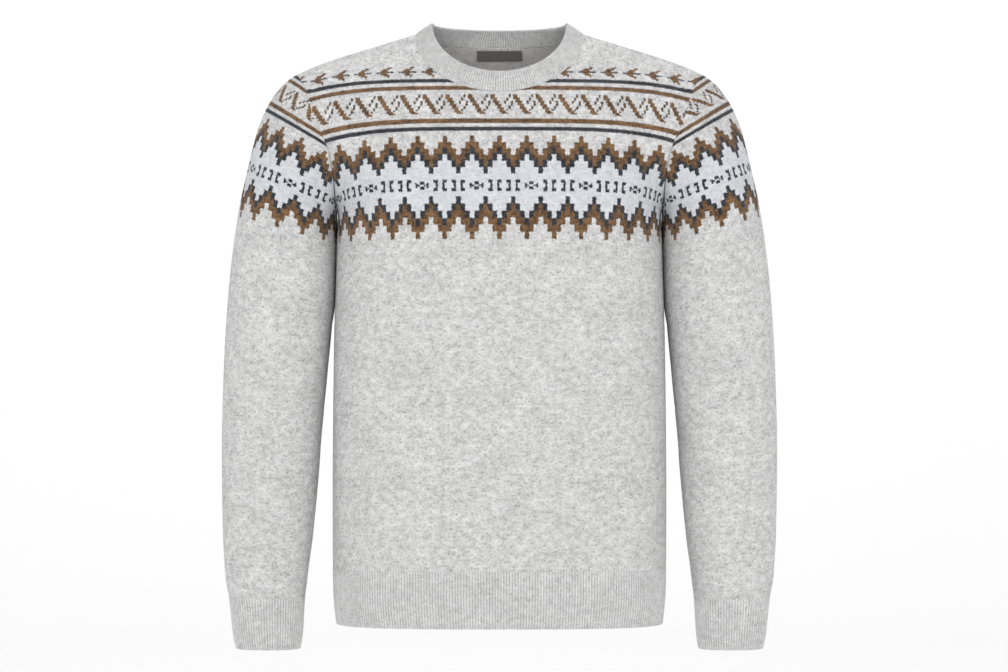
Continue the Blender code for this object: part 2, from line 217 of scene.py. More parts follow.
def smooth_between(knots, table, places):
    """Every column of a table at each place, on Hermite curves through its rows."""
    knots, table, places = np.asarray(knots), np.asarray(table), np.atleast_1d(places)
    turn = 1 if knots[-1] > knots[0] else -1
    step = np.clip(np.searchsorted(turn * knots, turn * places, side="left") - 1, 0, len(knots) - 2)
    row = np.arange(len(knots))
    before, after = np.maximum(row - 1, 0), np.minimum(row + 1, len(knots) - 1)
    slope = (table[after] - table[before]) / (knots[after] - knots[before])[:, None]
    span = (knots[step + 1] - knots[step])[:, None]
    t = (places - knots[step])[:, None] / span
    return ((2 * t ** 3 - 3 * t ** 2 + 1) * table[step] + (t ** 3 - 2 * t ** 2 + t) * span * slope[step]
            + (3 * t ** 2 - 2 * t ** 3) * table[step + 1] + (t ** 3 - t ** 2) * span * slope[step + 1])


def form_at(z, column):
    return smooth_between(FORM[:, 0], FORM[:, 1:], np.ravel(z))[:, column - 1].reshape(np.shape(z))


def on_form(x, z, face):
    """Points of the torso form at these places, seen from the front, on its front or its back."""
    x, z = np.broadcast_arrays(np.asarray(x, float), np.asarray(z, float))
    power = form_at(z, SQUARENESS)
    across = np.minimum(np.abs(x) / form_at(z, HALF_WIDTH), 1.0)
    depth = form_at(z, face) * (1 - across ** power) ** (1 / power)
    return np.stack([x, -depth if face == FRONT else depth, z], axis=-1)


def evenly(points, count):
    """The given number of steps of equal length along a line of close points."""
    lengths = np.concatenate([[0], np.cumsum(np.linalg.norm(np.diff(points, axis=0), axis=1))])
    places = np.linspace(0, lengths[-1], count + 1)
    return np.stack([np.interp(places, lengths, points[:, k]) for k in range(3)], axis=-1)


def section_half(z, face, count):
    """Points at equal spacing from the centre line to the side, round one section of the form."""
    angle = np.linspace(0, pi / 2, SECTION_STEPS)
    power = 2 / form_at(z, SQUARENESS)
    side = -1 if face == FRONT else 1
    fine = np.stack([form_at(z, HALF_WIDTH) * np.sin(angle) ** power,
                     side * form_at(z, face) * np.abs(np.cos(angle)) ** power,
                     np.full_like(angle, z)], axis=-1)
    fine[-1, 1] = 0.0
    return evenly(fine, count)


print("half width at the chest", round(float(form_at(-0.25, HALF_WIDTH)), 4))

# %% [markdown]
# ## Body panels
#
# The front and the back are each knitted as one panel. Below the armpits its rows of stitches are
# level rings of the form. Above them, the neck, the shoulder seam and the armhole cut the panel,
# so its grid is blended between those three lines, seen from the front, and the form then gives
# each point its depth. The grid is fine enough to carry creases.

# %% Grid of a body panel
HALF_COLUMNS = 70
LOWER_ROWS = 104
UPPER_ROWS = 66
SHOULDER_PART = 5 / 14        # share of the upper side line that is the shoulder seam
ARMHOLE_STEPS = 400           # points of an armhole's curve before it is spaced evenly


def neck_line(face, count):
    angle = np.linspace(0, pi / 2, count + 1)
    return on_form(NECK_HALF_WIDTH * np.sin(angle), -NECK_DROP[face] * np.cos(angle), face)


def armhole_line(face, count):
    """The armhole seam from the armpit to the shoulder tip."""
    tip = (SHOULDER_TIP_Z, *[float(form_at(SHOULDER_TIP_Z, HALF_WIDTH))] * 2)
    table = np.vstack([ARMHOLE, tip])
    z = ARMPIT_Z + (SHOULDER_TIP_Z - ARMPIT_Z) * (1 - np.cos(np.linspace(0, pi, ARMHOLE_STEPS))) / 2
    fine = on_form(smooth_between(table[:, 0], table[:, 1:], z)[:, face - FRONT], z, face)
    fine[[0, -1], 1] = 0.0
    return evenly(fine, count)


def shoulder_line(count):
    """The shoulder seam from its tip to the neckband."""
    z = SHOULDER_TIP_Z * (1 - np.arange(count + 1) / count)
    return np.stack([form_at(z, HALF_WIDTH), np.zeros(count + 1), z], axis=-1)


def half_panel(face):
    """Rows from the hem rib to the neckband, each from the centre line to the side."""
    share = np.linspace(0, 1, HALF_COLUMNS + 1)
    lower = [section_half(z, face, HALF_COLUMNS) for z in np.linspace(RIB_TOP_Z, ARMPIT_Z, LOWER_ROWS + 1)]
    shoulder_rows = round(UPPER_ROWS * SHOULDER_PART)
    side = np.vstack([armhole_line(face, UPPER_ROWS - shoulder_rows), shoulder_line(shoulder_rows)[1:]])
    bottom, top = lower[-1], neck_line(face, HALF_COLUMNS)
    upper = []
    for step in range(1, UPPER_ROWS + 1):
        t = step / UPPER_ROWS
        row = (1 - t) * bottom + t * top
        row = row + share[:, None] * (side[step] - row[-1])
        row = on_form(row[:, 0], row[:, 2], face)
        row[-1] = side[step]
        upper.append(row)
    return np.array(lower + upper)


def whole_panel(face):
    """Both halves, from the right side of the wearer to the left."""
    half = half_panel(face)
    other = half[:, :0:-1] * (-1, 1, 1)
    return np.concatenate([other, half], axis=1)


panels = {"front": whole_panel(FRONT), "back": whole_panel(BACK)}
print("points on the front:", panels["front"].shape[:2])

# %% [markdown]
# ## Sleeves
#
# A sleeve is a tube that begins at the armhole. Its first rings follow the armhole seam and turn
# down over the shoulder on Bezier curves, and the others are the sleeve table's rings, smoothed.


# %% Grid of a sleeve
SLEEVE_COLUMNS = 108          # points round the sleeve, half of them on its front
CAP_ROWS = 34
TUBE_ROWS = 116
TINY = 1e-9                   # so that a ring's outermost and innermost points count as its front


def ring_points(rings, columns):
    """Points round each ring of a table. The first point is on the outer side, then the front."""
    angle = 2 * pi * np.arange(columns) / columns
    power = 2 / SLEEVE_POWER
    outward = np.copysign(np.abs(np.cos(angle)) ** power, np.cos(angle))
    forward = np.copysign(np.abs(np.sin(angle)) ** power, np.sin(angle))
    outer, inner = rings[:, None, 0:2], rings[:, None, 2:4]
    middle, reach = (outer + inner) / 2, (outer - inner) / 2
    side_on = middle + outward[None, :, None] * reach
    y = rings[:, None, 5] - forward[None, :] * rings[:, None, 4]
    return np.stack([side_on[..., 0], y, side_on[..., 1]], axis=-1)


def tube_rings(table, count):
    """A table's rings, smoothed and evenly spaced down the tube."""
    middle = (table[:, :2] + table[:, 2:4]) / 2
    length = np.concatenate([[0], np.cumsum(np.linalg.norm(np.diff(middle, axis=0), axis=1))])
    return smooth_between(length, table, np.linspace(0, length[-1], count + 1))


def cap_rings():
    """Rings from the armhole seam to the first ring of the table."""
    half = SLEEVE_COLUMNS // 2
    front, back = armhole_line(FRONT, half)[::-1], armhole_line(BACK, half)
    tip, armpit = front[0], front[-1]
    across = (tip - armpit) / np.linalg.norm(tip - armpit)
    start = np.vstack([front, back[1:-1]]) + SLEEVE_CLEARANCE * np.array((across[2], 0.0, -across[0]))
    angle = 2 * pi * np.arange(SLEEVE_COLUMNS) / SLEEVE_COLUMNS
    over, under = np.maximum(np.cos(angle), 0) ** 2, np.maximum(-np.cos(angle), 0) ** 2
    at_side = np.tile(CAP_AT_FRONT, (SLEEVE_COLUMNS, 1))
    at_side[:, 1] *= np.sign(np.sin(angle) + TINY)
    leave = (over[:, None] * CAP_OVER_SHOULDER + (np.sin(angle) ** 2)[:, None] * at_side
             + under[:, None] * CAP_AT_ARMPIT)
    leave /= np.linalg.norm(leave, axis=1)[:, None]
    first = SLEEVE[0]
    axis = np.array((first[1] - first[3], 0.0, first[2] - first[0]))
    axis /= np.linalg.norm(axis)
    end = ring_points(SLEEVE[:1], SLEEVE_COLUMNS)[0]
    reach = CAP_FULLNESS * np.linalg.norm(end - start, axis=1)[:, None]
    rings = []
    for t in np.arange(CAP_ROWS) / CAP_ROWS:
        s = 1 - t
        rings.append(s ** 3 * start + 3 * s * s * t * (start + reach * leave)
                     + 3 * s * t * t * (end - reach * axis) + t ** 3 * end)
    return np.array(rings)


sleeve_grid = np.concatenate([cap_rings(), ring_points(tube_rings(SLEEVE, TUBE_ROWS), SLEEVE_COLUMNS)])
print("points on a sleeve:", sleeve_grid.shape[:2])

# %% [markdown]
# ## The chart's place on the cloth
#
# A knitter works from a chart: stitches across, rows up. Each panel carries a UV map in metres
# that says where the chart lies on it. Its height follows the rows of stitches, which dip a little
# towards the armholes on the body and fan out over the top of the arm on a sleeve. Its width is
# measured along those rows from the panel's middle, so a stitch is equally wide everywhere.

# %% Chart height on the body and sleeves
STITCH_WIDTH = 0.00255
STITCH_HEIGHT = 0.00183
# chart height at the centre, how far its row drops 190 mm out, how sharply it turns down
ROW_DROP = np.array((
    (-0.030, 0.0050, 5.0), (-0.057, 0.0064, 5.0), (-0.085, 0.0090, 4.6), (-0.1137, 0.0112, 4.3),
    (-0.150, 0.0140, 5.5), (-0.1784, 0.0165, 7.0), (-0.205, 0.0095, 6.0), (-0.238, 0.0027, 4.0),
    (-0.300, 0.0000, 4.0), (-0.700, 0.0000, 4.0),
))
# chart height, slope of the row across the sleeve, x where the row leaves the body
SLEEVE_FAN = np.array((
    (-0.040, 0.72, 0.210), (-0.080, 0.68, 0.206), (-0.1137, 0.60, 0.200), (-0.150, 0.50, 0.193),
    (-0.1784, 0.41, 0.188), (-0.238, 0.28, 0.188), (-0.300, 0.17, 0.189), (-0.400, 0.08, 0.190),
    (-0.700, 0.00, 0.190),
))
DROP_REACH = 0.190
DROP_LIMIT = 1.12             # the rows fall no further than this many reaches out
BODY_PASSES, SLEEVE_PASSES = 14, 20           # passes that settle the chart's heights
BODY_KEPT, SLEEVE_KEPT = 0.5, 0.6             # share of the last pass's height that is kept
CHART_LEVELS = 300


def drop_at(x, height):
    """How far the chart's rows hang below their height at the centre, x metres out from it."""
    known = np.clip(height, ROW_DROP[-1, 0], ROW_DROP[0, 0])
    drop = smooth_between(ROW_DROP[:, 0], ROW_DROP[:, 1:], known.ravel())
    amount, power = drop[:, 0].reshape(known.shape), drop[:, 1].reshape(known.shape)
    return amount * np.minimum(np.abs(x) / DROP_REACH, DROP_LIMIT) ** power


def chart_height_on_body(points):
    x, z = points[..., 0], points[..., 2]
    height = z.copy()
    for _ in range(BODY_PASSES):
        height = BODY_KEPT * height + (1 - BODY_KEPT) * (z + drop_at(x, height))
    return height


def chart_height_on_sleeve(points):
    x, z = np.abs(points[..., 0]), points[..., 2]
    height = z.copy()
    for _ in range(SLEEVE_PASSES):
        known = np.clip(height, SLEEVE_FAN[-1, 0], SLEEVE_FAN[0, 0])
        fan = smooth_between(SLEEVE_FAN[:, 0], SLEEVE_FAN[:, 1:], known.ravel())
        slope, start = fan[:, 0].reshape(x.shape), fan[:, 1].reshape(x.shape)
        aim = z + drop_at(start, height) - slope * (x - start)
        height = SLEEVE_KEPT * height + (1 - SLEEVE_KEPT) * aim
    return height


def chart_width(points, height):
    """Distance along the chart's rows from the grid's first column to every point."""
    levels = np.linspace(height.min(), height.max(), CHART_LEVELS)
    order = 1 if height[-1, 0] > height[0, 0] else -1
    lines = np.empty((len(levels), points.shape[1], 3))
    for column in range(points.shape[1]):
        known = np.maximum.accumulate(height[::order, column])
        for axis in range(3):
            lines[:, column, axis] = np.interp(levels, known, points[::order, column, axis])
    steps = np.linalg.norm(np.diff(lines, axis=1), axis=2)
    distance = np.concatenate([np.zeros((len(levels), 1)), np.cumsum(steps, axis=1)], axis=1)
    return np.stack([np.interp(height[:, column], levels, distance[:, column])
                     for column in range(points.shape[1])], axis=1)


SECTION_LEVELS = np.linspace(-0.70, 0.0, 280)
SECTION_SHARES = np.linspace(0.0, 1.0, 900)


def section_lengths():
    """For each level, the distance round the form's section to each share of its half width."""
    angle = np.linspace(0, pi / 2, len(SECTION_SHARES))
    faces = {}
    for face in (FRONT, BACK):
        lengths = []
        for z in SECTION_LEVELS:
            power = 2 / form_at(z, SQUARENESS)
            share = np.sin(angle) ** power
            depth = form_at(z, face) * np.abs(np.cos(angle)) ** power
            step = np.hypot(np.diff(share * form_at(z, HALF_WIDTH)), np.diff(depth))
            lengths.append(np.interp(SECTION_SHARES, share, np.concatenate([[0], np.cumsum(step)])))
        faces[face] = np.array(lengths)
    return faces


def chart_width_on_body(points, face):
    """Distance from the centre line, round the section at each point's height."""
    x, z = points[..., 0], points[..., 2]
    share = np.clip(np.abs(x) / form_at(z, HALF_WIDTH), 0, 1) * (len(SECTION_SHARES) - 1)
    level = np.interp(z, SECTION_LEVELS, np.arange(len(SECTION_LEVELS)))
    low = np.minimum(level.astype(int), len(SECTION_LEVELS) - 2)
    left = np.minimum(share.astype(int), len(SECTION_SHARES) - 2)
    up, right = level - low, share - left
    table = sections[face]
    below = table[low, left] * (1 - right) + table[low, left + 1] * right
    above = table[low + 1, left] * (1 - right) + table[low + 1, left + 1] * right
    return np.sign(x) * (below * (1 - up) + above * up)


sections = section_lengths()


def chart_on(points, height, turn=1):
    """A grid's UV map in metres, measured along the rows both ways from its middle column."""
    middle = points.shape[1] // 2
    onward = chart_width(points[:, middle:], height[:, middle:])
    backward = chart_width(points[:, middle::-1], height[:, middle::-1])
    width = np.concatenate([-backward[:, :0:-1], onward], axis=1)
    return np.stack([turn * width, height], axis=-1)


print("stitches to 10 cm:", round(0.10 / STITCH_WIDTH))

# %% [markdown]
# ## Creases
#
# Knitted wool falls in a few long, soft troughs and ridges: where the sleeve presses into the
# body at the armpit, at the elbow, and above the ribs, which hold the cloth in. Each is a line on
# the front view with its own width and depth, and the cloth moves along its normal by a bell curve
# across that line. They are placed one by one, because a simulation would even them out.

# %% Creases
# x and z of one end, x and z of the other, half width, depth (a ridge where it is negative)
FRONT_CREASES = (
    (-0.186, -0.196, -0.158, -0.128, 0.011, 0.0030), (0.186, -0.196, 0.160, -0.132, 0.011, 0.0028),
    (-0.180, -0.205, -0.118, -0.238, 0.016, 0.0020), (0.180, -0.207, 0.125, -0.244, 0.015, 0.0018),
    (-0.150, -0.300, -0.105, -0.470, 0.026, 0.0016), (0.138, -0.290, 0.112, -0.450, 0.028, 0.0014),
    (-0.060, -0.420, -0.040, -0.580, 0.030, -0.0012), (0.070, -0.400, 0.052, -0.585, 0.032, -0.0013),
    (0.000, -0.460, 0.006, -0.600, 0.024, 0.0009), (-0.150, -0.560, -0.080, -0.598, 0.014, 0.0013),
    (0.150, -0.566, 0.094, -0.600, 0.013, 0.0012), (-0.030, -0.590, 0.040, -0.594, 0.010, 0.0007),
)
BACK_CREASES = (
    (-0.184, -0.192, -0.140, -0.120, 0.013, 0.0032), (0.184, -0.194, 0.146, -0.116, 0.012, 0.0030),
    (-0.178, -0.210, -0.090, -0.262, 0.017, 0.0024), (0.178, -0.206, 0.098, -0.255, 0.018, 0.0026),
    (-0.090, -0.330, 0.020, -0.352, 0.020, 0.0020), (0.100, -0.350, -0.010, -0.378, 0.022, 0.0018),
    (-0.130, -0.420, -0.100, -0.590, 0.028, 0.0016), (0.125, -0.430, 0.104, -0.580, 0.026, 0.0017),
    (0.000, -0.250, 0.004, -0.480, 0.034, 0.0022), (-0.060, -0.585, 0.050, -0.592, 0.011, 0.0008),
)
SLEEVE_FRONT_CREASES = (
    (0.200, -0.196, 0.232, -0.160, 0.010, 0.0030), (0.196, -0.226, 0.244, -0.236, 0.011, 0.0018),
    (0.202, -0.360, 0.262, -0.386, 0.015, 0.0022), (0.214, -0.404, 0.296, -0.412, 0.016, 0.0017),
    (0.206, -0.452, 0.268, -0.436, 0.014, 0.0019), (0.236, -0.500, 0.300, -0.540, 0.018, 0.0014),
    (0.222, -0.600, 0.272, -0.612, 0.009, 0.0014), (0.250, -0.585, 0.308, -0.604, 0.010, 0.0012),
    (0.270, -0.300, 0.290, -0.480, 0.020, -0.0012),
)
SLEEVE_BACK_CREASES = (
    (0.200, -0.194, 0.240, -0.150, 0.011, 0.0032), (0.200, -0.240, 0.270, -0.268, 0.014, 0.0020),
    (0.206, -0.380, 0.300, -0.400, 0.016, 0.0026), (0.208, -0.424, 0.300, -0.430, 0.014, 0.0024),
    (0.212, -0.470, 0.280, -0.455, 0.015, 0.0020), (0.230, -0.560, 0.300, -0.588, 0.012, 0.0015),
    (0.226, -0.610, 0.290, -0.616, 0.008, 0.0013),
)
SEAM_TUCK = 0.0004            # how far the cloth is drawn in at a sewn seam
SEAM_TUCK_WIDTH = 0.0030
TAPER_START, TAPER_POWER = 0.12, 0.8          # how a crease dies away at its two ends
CREASES_END = 0.008           # creases die away this close to a seam


def grid_normals(points, closed):
    """Normals of a grid, from its neighbouring points."""
    if closed:
        around = np.roll(points, -1, axis=1) - np.roll(points, 1, axis=1)
    else:
        around = np.gradient(points, axis=1)
    down = np.gradient(points, axis=0)
    normal = np.cross(around, down)
    return normal / np.maximum(np.linalg.norm(normal, axis=2, keepdims=True), 1e-12)


def outward_normals(points, closed, axis):
    """Normals that point away from the axis, and if the grid's faces must be flipped to match."""
    normal = grid_normals(points, closed)
    flip = ((points - axis) * normal).sum() < 0
    return (-normal if flip else normal), flip


def bell(distance, width):
    return np.exp(-(distance / width) ** 2)


def crease_depth(points, creases):
    """How far in each point moves for all of a face's creases together."""
    x, z = points[..., 0], points[..., 2]
    total = np.zeros(x.shape)
    for x0, z0, x1, z1, width, depth in creases:
        run = np.array((x1 - x0, z1 - z0))
        along = np.clip(((x - x0) * run[0] + (z - z0) * run[1]) / (run @ run), 0, 1)
        away = np.hypot(x - x0 - along * run[0], z - z0 - along * run[1])
        taper = np.sin(pi * (TAPER_START + (1 - 2 * TAPER_START) * along)) ** TAPER_POWER
        total += depth * taper * bell(away, width)
    return total


def distance_to(points, line):
    """Distance from every point of a grid to a line of close points."""
    flat = points.reshape(-1, 3)
    nearest = np.full(len(flat), np.inf)
    for place in line:
        nearest = np.minimum(nearest, ((flat - place) ** 2).sum(axis=1))
    return np.sqrt(nearest).reshape(points.shape[:2])


print("creases on the front:", len(FRONT_CREASES))

# %% [markdown]
# ## Making cloth
#
# A grid becomes a mesh with one face for each cell, and the chart becomes its UV map. Solidify
# then gives the cloth its thickness towards the inside, and puts the inside's own finish there.


# %% Cloth from a grid
def keep_rim_crisp(mesh, columns):
    """Mark the first and last rows' edges sharp, and every open edge, so the shading stops there."""
    edge_of_corner = np.empty(len(mesh.loops), np.int32)
    mesh.loops.foreach_get("edge_index", edge_of_corner)
    is_open = np.bincount(edge_of_corner, minlength=len(mesh.edges)) == 1
    ends = np.empty(2 * len(mesh.edges), np.int32)
    mesh.edges.foreach_get("vertices", ends)
    ends = ends.reshape(-1, 2)
    last_row = len(mesh.vertices) - columns
    at_seam = (ends.max(axis=1) < columns) | (ends.min(axis=1) >= last_row)
    mesh.edges.foreach_set("use_edge_sharp", at_seam | is_open)


def cloth(name, points, chart, materials, closed=(False, False), flip=False):
    """A mesh piece from a grid of points. The chart has one more row or column where it closes."""
    rows, columns = points.shape[:2]
    row, column = np.meshgrid(np.arange(rows - (not closed[0])), np.arange(columns - (not closed[1])),
                              indexing="ij")
    row, column = row.ravel(), column.ravel()
    corners = [(row, column), (row, column + 1), (row + 1, column + 1), (row + 1, column)]
    corners = corners[::-1] if flip else corners
    faces = np.stack([(r % rows) * columns + c % columns for r, c in corners], axis=1)
    mesh = bpy.data.meshes.new(name)
    mesh.from_pydata(points.reshape(-1, 3).tolist(), [], faces.tolist())
    uv = mesh.uv_layers.new(name="Chart")
    places = np.stack([chart[r, c] for r, c in corners], axis=1)
    uv.data.foreach_set("uv", places.astype(np.float32).ravel())
    for material in materials:
        mesh.materials.append(material)
    mesh.shade_smooth()
    keep_rim_crisp(mesh, columns)
    piece = bpy.data.objects.new(name, mesh)
    bpy.context.scene.collection.objects.link(piece)
    return piece


def thicken(piece, wall):
    """Give a sheet its wall, towards the inside, with the piece's second material there."""
    solidify = piece.modifiers.new("Wall", "SOLIDIFY")
    solidify.thickness = wall
    solidify.offset = -1.0
    solidify.material_offset = 1
    return piece


print("cloth wall", WALL)

# %% [markdown]
# ## Writing formulas as nodes
#
# A chart is arithmetic: which column, which row, is this stitch brown. Long chains of Math nodes
# are hard to read in a script, so a small class stands for one wire in the tree. Adding or
# comparing two wires adds the Math node that does it.

# %% Wires
class Wire:
    """One number in a node tree. Arithmetic on it adds Math nodes."""

    def __init__(self, tree, socket):
        self.tree, self.socket = tree, socket

    def math(self, operation, *others):
        node = self.tree.nodes.new("ShaderNodeMath")
        node.operation = operation
        self.tree.links.new(self.socket, node.inputs[0])
        for place, other in enumerate(others, start=1):
            if isinstance(other, Wire):
                self.tree.links.new(other.socket, node.inputs[place])
            else:
                node.inputs[place].default_value = other
        return Wire(self.tree, node.outputs[0])

    def __add__(self, other):
        return self.math("ADD", other)

    def __sub__(self, other):
        return self.math("SUBTRACT", other)

    def __mul__(self, other):
        return self.math("MULTIPLY", other)

    def __truediv__(self, other):
        return self.math("DIVIDE", other)

    def __lt__(self, other):
        return self.math("LESS_THAN", other)

    def __gt__(self, other):
        return self.math("GREATER_THAN", other)

    def floor(self):
        return self.math("FLOOR")

    def absolute(self):
        return self.math("ABSOLUTE")

    def sine(self):
        return self.math("SINE")

    def sine_ahead(self):
        return self.math("COSINE")

    def most(self, other):
        return self.math("MAXIMUM", other)

    def least(self, other):
        return self.math("MINIMUM", other)

    def power(self, other):
        return self.math("POWER", other)

    def as_power_of(self, base):
        node = self.tree.nodes.new("ShaderNodeMath")
        node.operation = "POWER"
        node.inputs[0].default_value = base
        self.tree.links.new(self.socket, node.inputs[1])
        return Wire(self.tree, node.outputs[0])

    def wrap(self, period):
        return self.math("FLOORED_MODULO", period)

    def between(self, low, high):
        return (self > low) * (self < high)

    def equals(self, number):
        return self.math("COMPARE", number, 0.25)


def group(name, inputs, outputs):
    """An empty shader node group with its sockets. Gives the tree, its inputs and its outputs."""
    tree = bpy.data.node_groups.new(name, "ShaderNodeTree")
    for label, kind, value in inputs:
        socket = tree.interface.new_socket(label, in_out="INPUT", socket_type=kind)
        if value is not None:
            socket.default_value = value
    for label, kind in outputs:
        tree.interface.new_socket(label, in_out="OUTPUT", socket_type=kind)
    entry, leave = tree.nodes.new("NodeGroupInput"), tree.nodes.new("NodeGroupOutput")
    return tree, entry.outputs, leave.inputs


def noise(tree, place, scale, detail=2.0, roughness=0.5, stretch=(1.0, 1.0, 1.0)):
    """Noise at a place, stretched by dividing its coordinates."""
    shrunk = tree.nodes.new("ShaderNodeVectorMath")
    shrunk.operation = "DIVIDE"
    shrunk.inputs[1].default_value = stretch
    tree.links.new(place, shrunk.inputs[0])
    texture = tree.nodes.new("ShaderNodeTexNoise")
    texture.inputs["Scale"].default_value = scale
    texture.inputs["Detail"].default_value = detail
    texture.inputs["Roughness"].default_value = roughness
    tree.links.new(shrunk.outputs[0], texture.inputs["Vector"])
    return Wire(tree, texture.outputs[0])


FLOAT, VECTOR, COLOUR = "NodeSocketFloat", "NodeSocketVector", "NodeSocketColor"
print("wire operations ready")

# %% [markdown]
# ## Stitches
#
# Plain knitting shows columns of small V shapes. Each leg of a V climbs from the middle of the
# column to its edge. So the height at which a row changes is a little higher at a column's edges,
# and every edge between two colours gets the knitter's fine saw-tooth. This group turns a place on
# the chart into its column, its shifted height, the relief of the legs and a random number for
# each stitch.

# %% Knit stitch group
LEG_CLIMB = 0.55              # how far the legs of a V climb, as a part of a row
LOOSENESS = 1.8               # how unevenly the yarn lies, as a part of a stitch
SIDEWAYS_NOISE, UPWARD_NOISE = 520.0, 610.0   # waves to the metre
LEG_RELIEF = 0.85             # how far a stitch falls away beside its legs
ROW_RELIEF, ROW_FLOOR = 0.55, 0.45            # its rise in the middle of a row, and its height between rows


def knit_stitches():
    tree, entry, leave = group("Knit stitches", [
        ("Chart", VECTOR, None), ("Stitch Width", FLOAT, STITCH_WIDTH),
        ("Row Height", FLOAT, STITCH_HEIGHT),
    ], [("Column", FLOAT), ("Height", FLOAT), ("Relief", FLOAT), ("Shade", FLOAT)])
    split = tree.nodes.new("ShaderNodeSeparateXYZ")
    tree.links.new(entry["Chart"], split.inputs[0])
    sideways = noise(tree, entry["Chart"], SIDEWAYS_NOISE, 2.0, 0.6) - 0.5
    upward = noise(tree, entry["Chart"], UPWARD_NOISE, 2.0, 0.6, (0.7, 1.0, 1.0)) - 0.5
    across = Wire(tree, split.outputs["X"]) / Wire(tree, entry["Stitch Width"]) + sideways * LOOSENESS
    row_height = Wire(tree, entry["Row Height"])
    column = across.floor()
    leg = (across - column - 0.5).absolute() * 2.0
    climb = (leg - 0.5 + upward * LOOSENESS * 2.0) * row_height * LEG_CLIMB
    height = Wire(tree, split.outputs["Y"]) - climb
    rows = height / row_height
    row = rows.floor()
    within = rows - row
    across_leg = (leg * 2.0 - 1.0).power(2.0)
    relief = (across_leg * -LEG_RELIEF + 1.0) * ((within * pi).sine() * ROW_RELIEF + ROW_FLOOR)
    joined = tree.nodes.new("ShaderNodeCombineXYZ")
    tree.links.new(column.socket, joined.inputs["X"])
    tree.links.new(row.socket, joined.inputs["Y"])
    white = tree.nodes.new("ShaderNodeTexWhiteNoise")
    white.noise_dimensions = "2D"
    tree.links.new(joined.outputs[0], white.inputs["Vector"])
    for label, wire in (("Column", column), ("Height", height), ("Relief", relief)):
        tree.links.new(wire.socket, leave[label])
    tree.links.new(white.outputs["Value"], leave["Shade"])
    return tree


knit_group = knit_stitches()
print("knit group nodes:", len(knit_group.nodes))

# %% [markdown]
# ## Marl
#
# Marl yarn is spun from light and dark wool together, so the cloth is mottled in soft blotches a
# few millimetres across, and brushing has drawn them out sideways. Three noises, for
# clouds, blotches and flecks, mix a dark and a light tone of the same colour.


# %% Marl group
BLOTCH_NOISE, FLECK_NOISE, CLOUD_NOISE = 150.0, 430.0, 30.0
BLOTCH_WEIGHT, FLECK_WEIGHT, CLOUD_WEIGHT = 1.2, 0.8, 0.5
TUFT_START, TUFT_RAMP, TUFT_WEIGHT = 0.56, 6.0, 0.55      # where flecks are strongest, dark tufts show
STITCH_WEIGHT = 0.18          # how much one stitch differs from the next
MARL_MIDDLE = 0.62            # how light the marl is on average, from dark to light


def mixed_colours(tree, factor, first, second):
    """The first colour where the factor is 0, and the second where it is 1."""
    mix = tree.nodes.new("ShaderNodeMix")
    mix.data_type = "RGBA"
    factor_in, first_in, second_in = mix.inputs[0], mix.inputs[6], mix.inputs[7]
    tree.links.new(factor, factor_in)
    for value, socket in ((first, first_in), (second, second_in)):
        if isinstance(value, tuple):
            socket.default_value = value
        else:
            tree.links.new(value, socket)
    return mix.outputs[2]


def marl():
    tree, entry, leave = group("Marl", [
        ("Chart", VECTOR, None), ("Shade", FLOAT, 0.5), ("Contrast", FLOAT, 1.0),
        ("Dark", COLOUR, (0.3, 0.3, 0.3, 1.0)), ("Light", COLOUR, (0.8, 0.8, 0.8, 1.0)),
    ], [("Colour", COLOUR), ("Nap", FLOAT)])
    blotch = noise(tree, entry["Chart"], BLOTCH_NOISE, 2.0, 0.55, (1.3, 1.0, 1.0))
    fleck = noise(tree, entry["Chart"], FLECK_NOISE, 2.0, 0.6, (1.25, 1.0, 1.0))
    cloud = noise(tree, entry["Chart"], CLOUD_NOISE, 2.0, 0.5)
    dark_tufts = ((fleck - TUFT_START) * TUFT_RAMP).most(0.0).least(1.0)
    mixed = (blotch - 0.5) * BLOTCH_WEIGHT + (cloud - 0.5) * CLOUD_WEIGHT
    mixed = mixed - (fleck - 0.5) * FLECK_WEIGHT - dark_tufts * TUFT_WEIGHT
    mixed = mixed + (Wire(tree, entry["Shade"]) - 0.5) * STITCH_WEIGHT
    mixed = (mixed * Wire(tree, entry["Contrast"]) + MARL_MIDDLE).most(0.0).least(1.0)
    colour = mixed_colours(tree, mixed.socket, entry["Dark"], entry["Light"])
    tree.links.new(colour, leave["Colour"])
    tree.links.new((blotch * 0.5 + fleck * 0.5).socket, leave["Nap"])
    return tree


marl_group = marl()
print("marl group nodes:", len(marl_group.nodes))

# %% [markdown]
# ## The fair isle chart
#
# Small motifs are written the way a knitting machine takes them: on punched cards, one line of
# text for each row, with a mark where the coloured yarn is knitted. Each line becomes a whole
# number, one bit for each stitch, and the tree reads the bit that belongs to the stitch. A card
# repeats round the garment. The two stepped zigzags need no card. Their edge falls by one step
# for each two stitches away from a peak.

# %% Cards
# A hash is brown yarn, a dash is navy, and a dot is the ground.
POINTED_MOTIF = (             # an arrow flying to the left, with swept-back wings
    "......##..",
    "....###...",
    "...###....",
    ".--###---.",
    "...###....",
    "....###...",
    "......#...",
)
SLANTED_STROKES = (           # a heavy stroke falling to the right, and two thin ones rising to the next
    ".##......-",
    ".##......#",
    ".###....-.",
    "..##....#.",
    "-.###..-..",
    "#..##..#..",
    "-..###....",
    "....##...#",
    "....###..-",
    ".....##.-.",
    ".....###..",
    "......###.",
)
BARS_AND_DIAMOND = (          # four notched bars, and four dots set in a diamond
    ".--..--..........--..--.",
    ".--..--....--....--..--.",
    "..-..-...-.--.-...-..-..",
    "..-..-...--..--...-..-..",
    "..-..-...-.--.-...-..-..",
    ".--..--....--....--..--.",
    ".--..--..........--..--.",
)


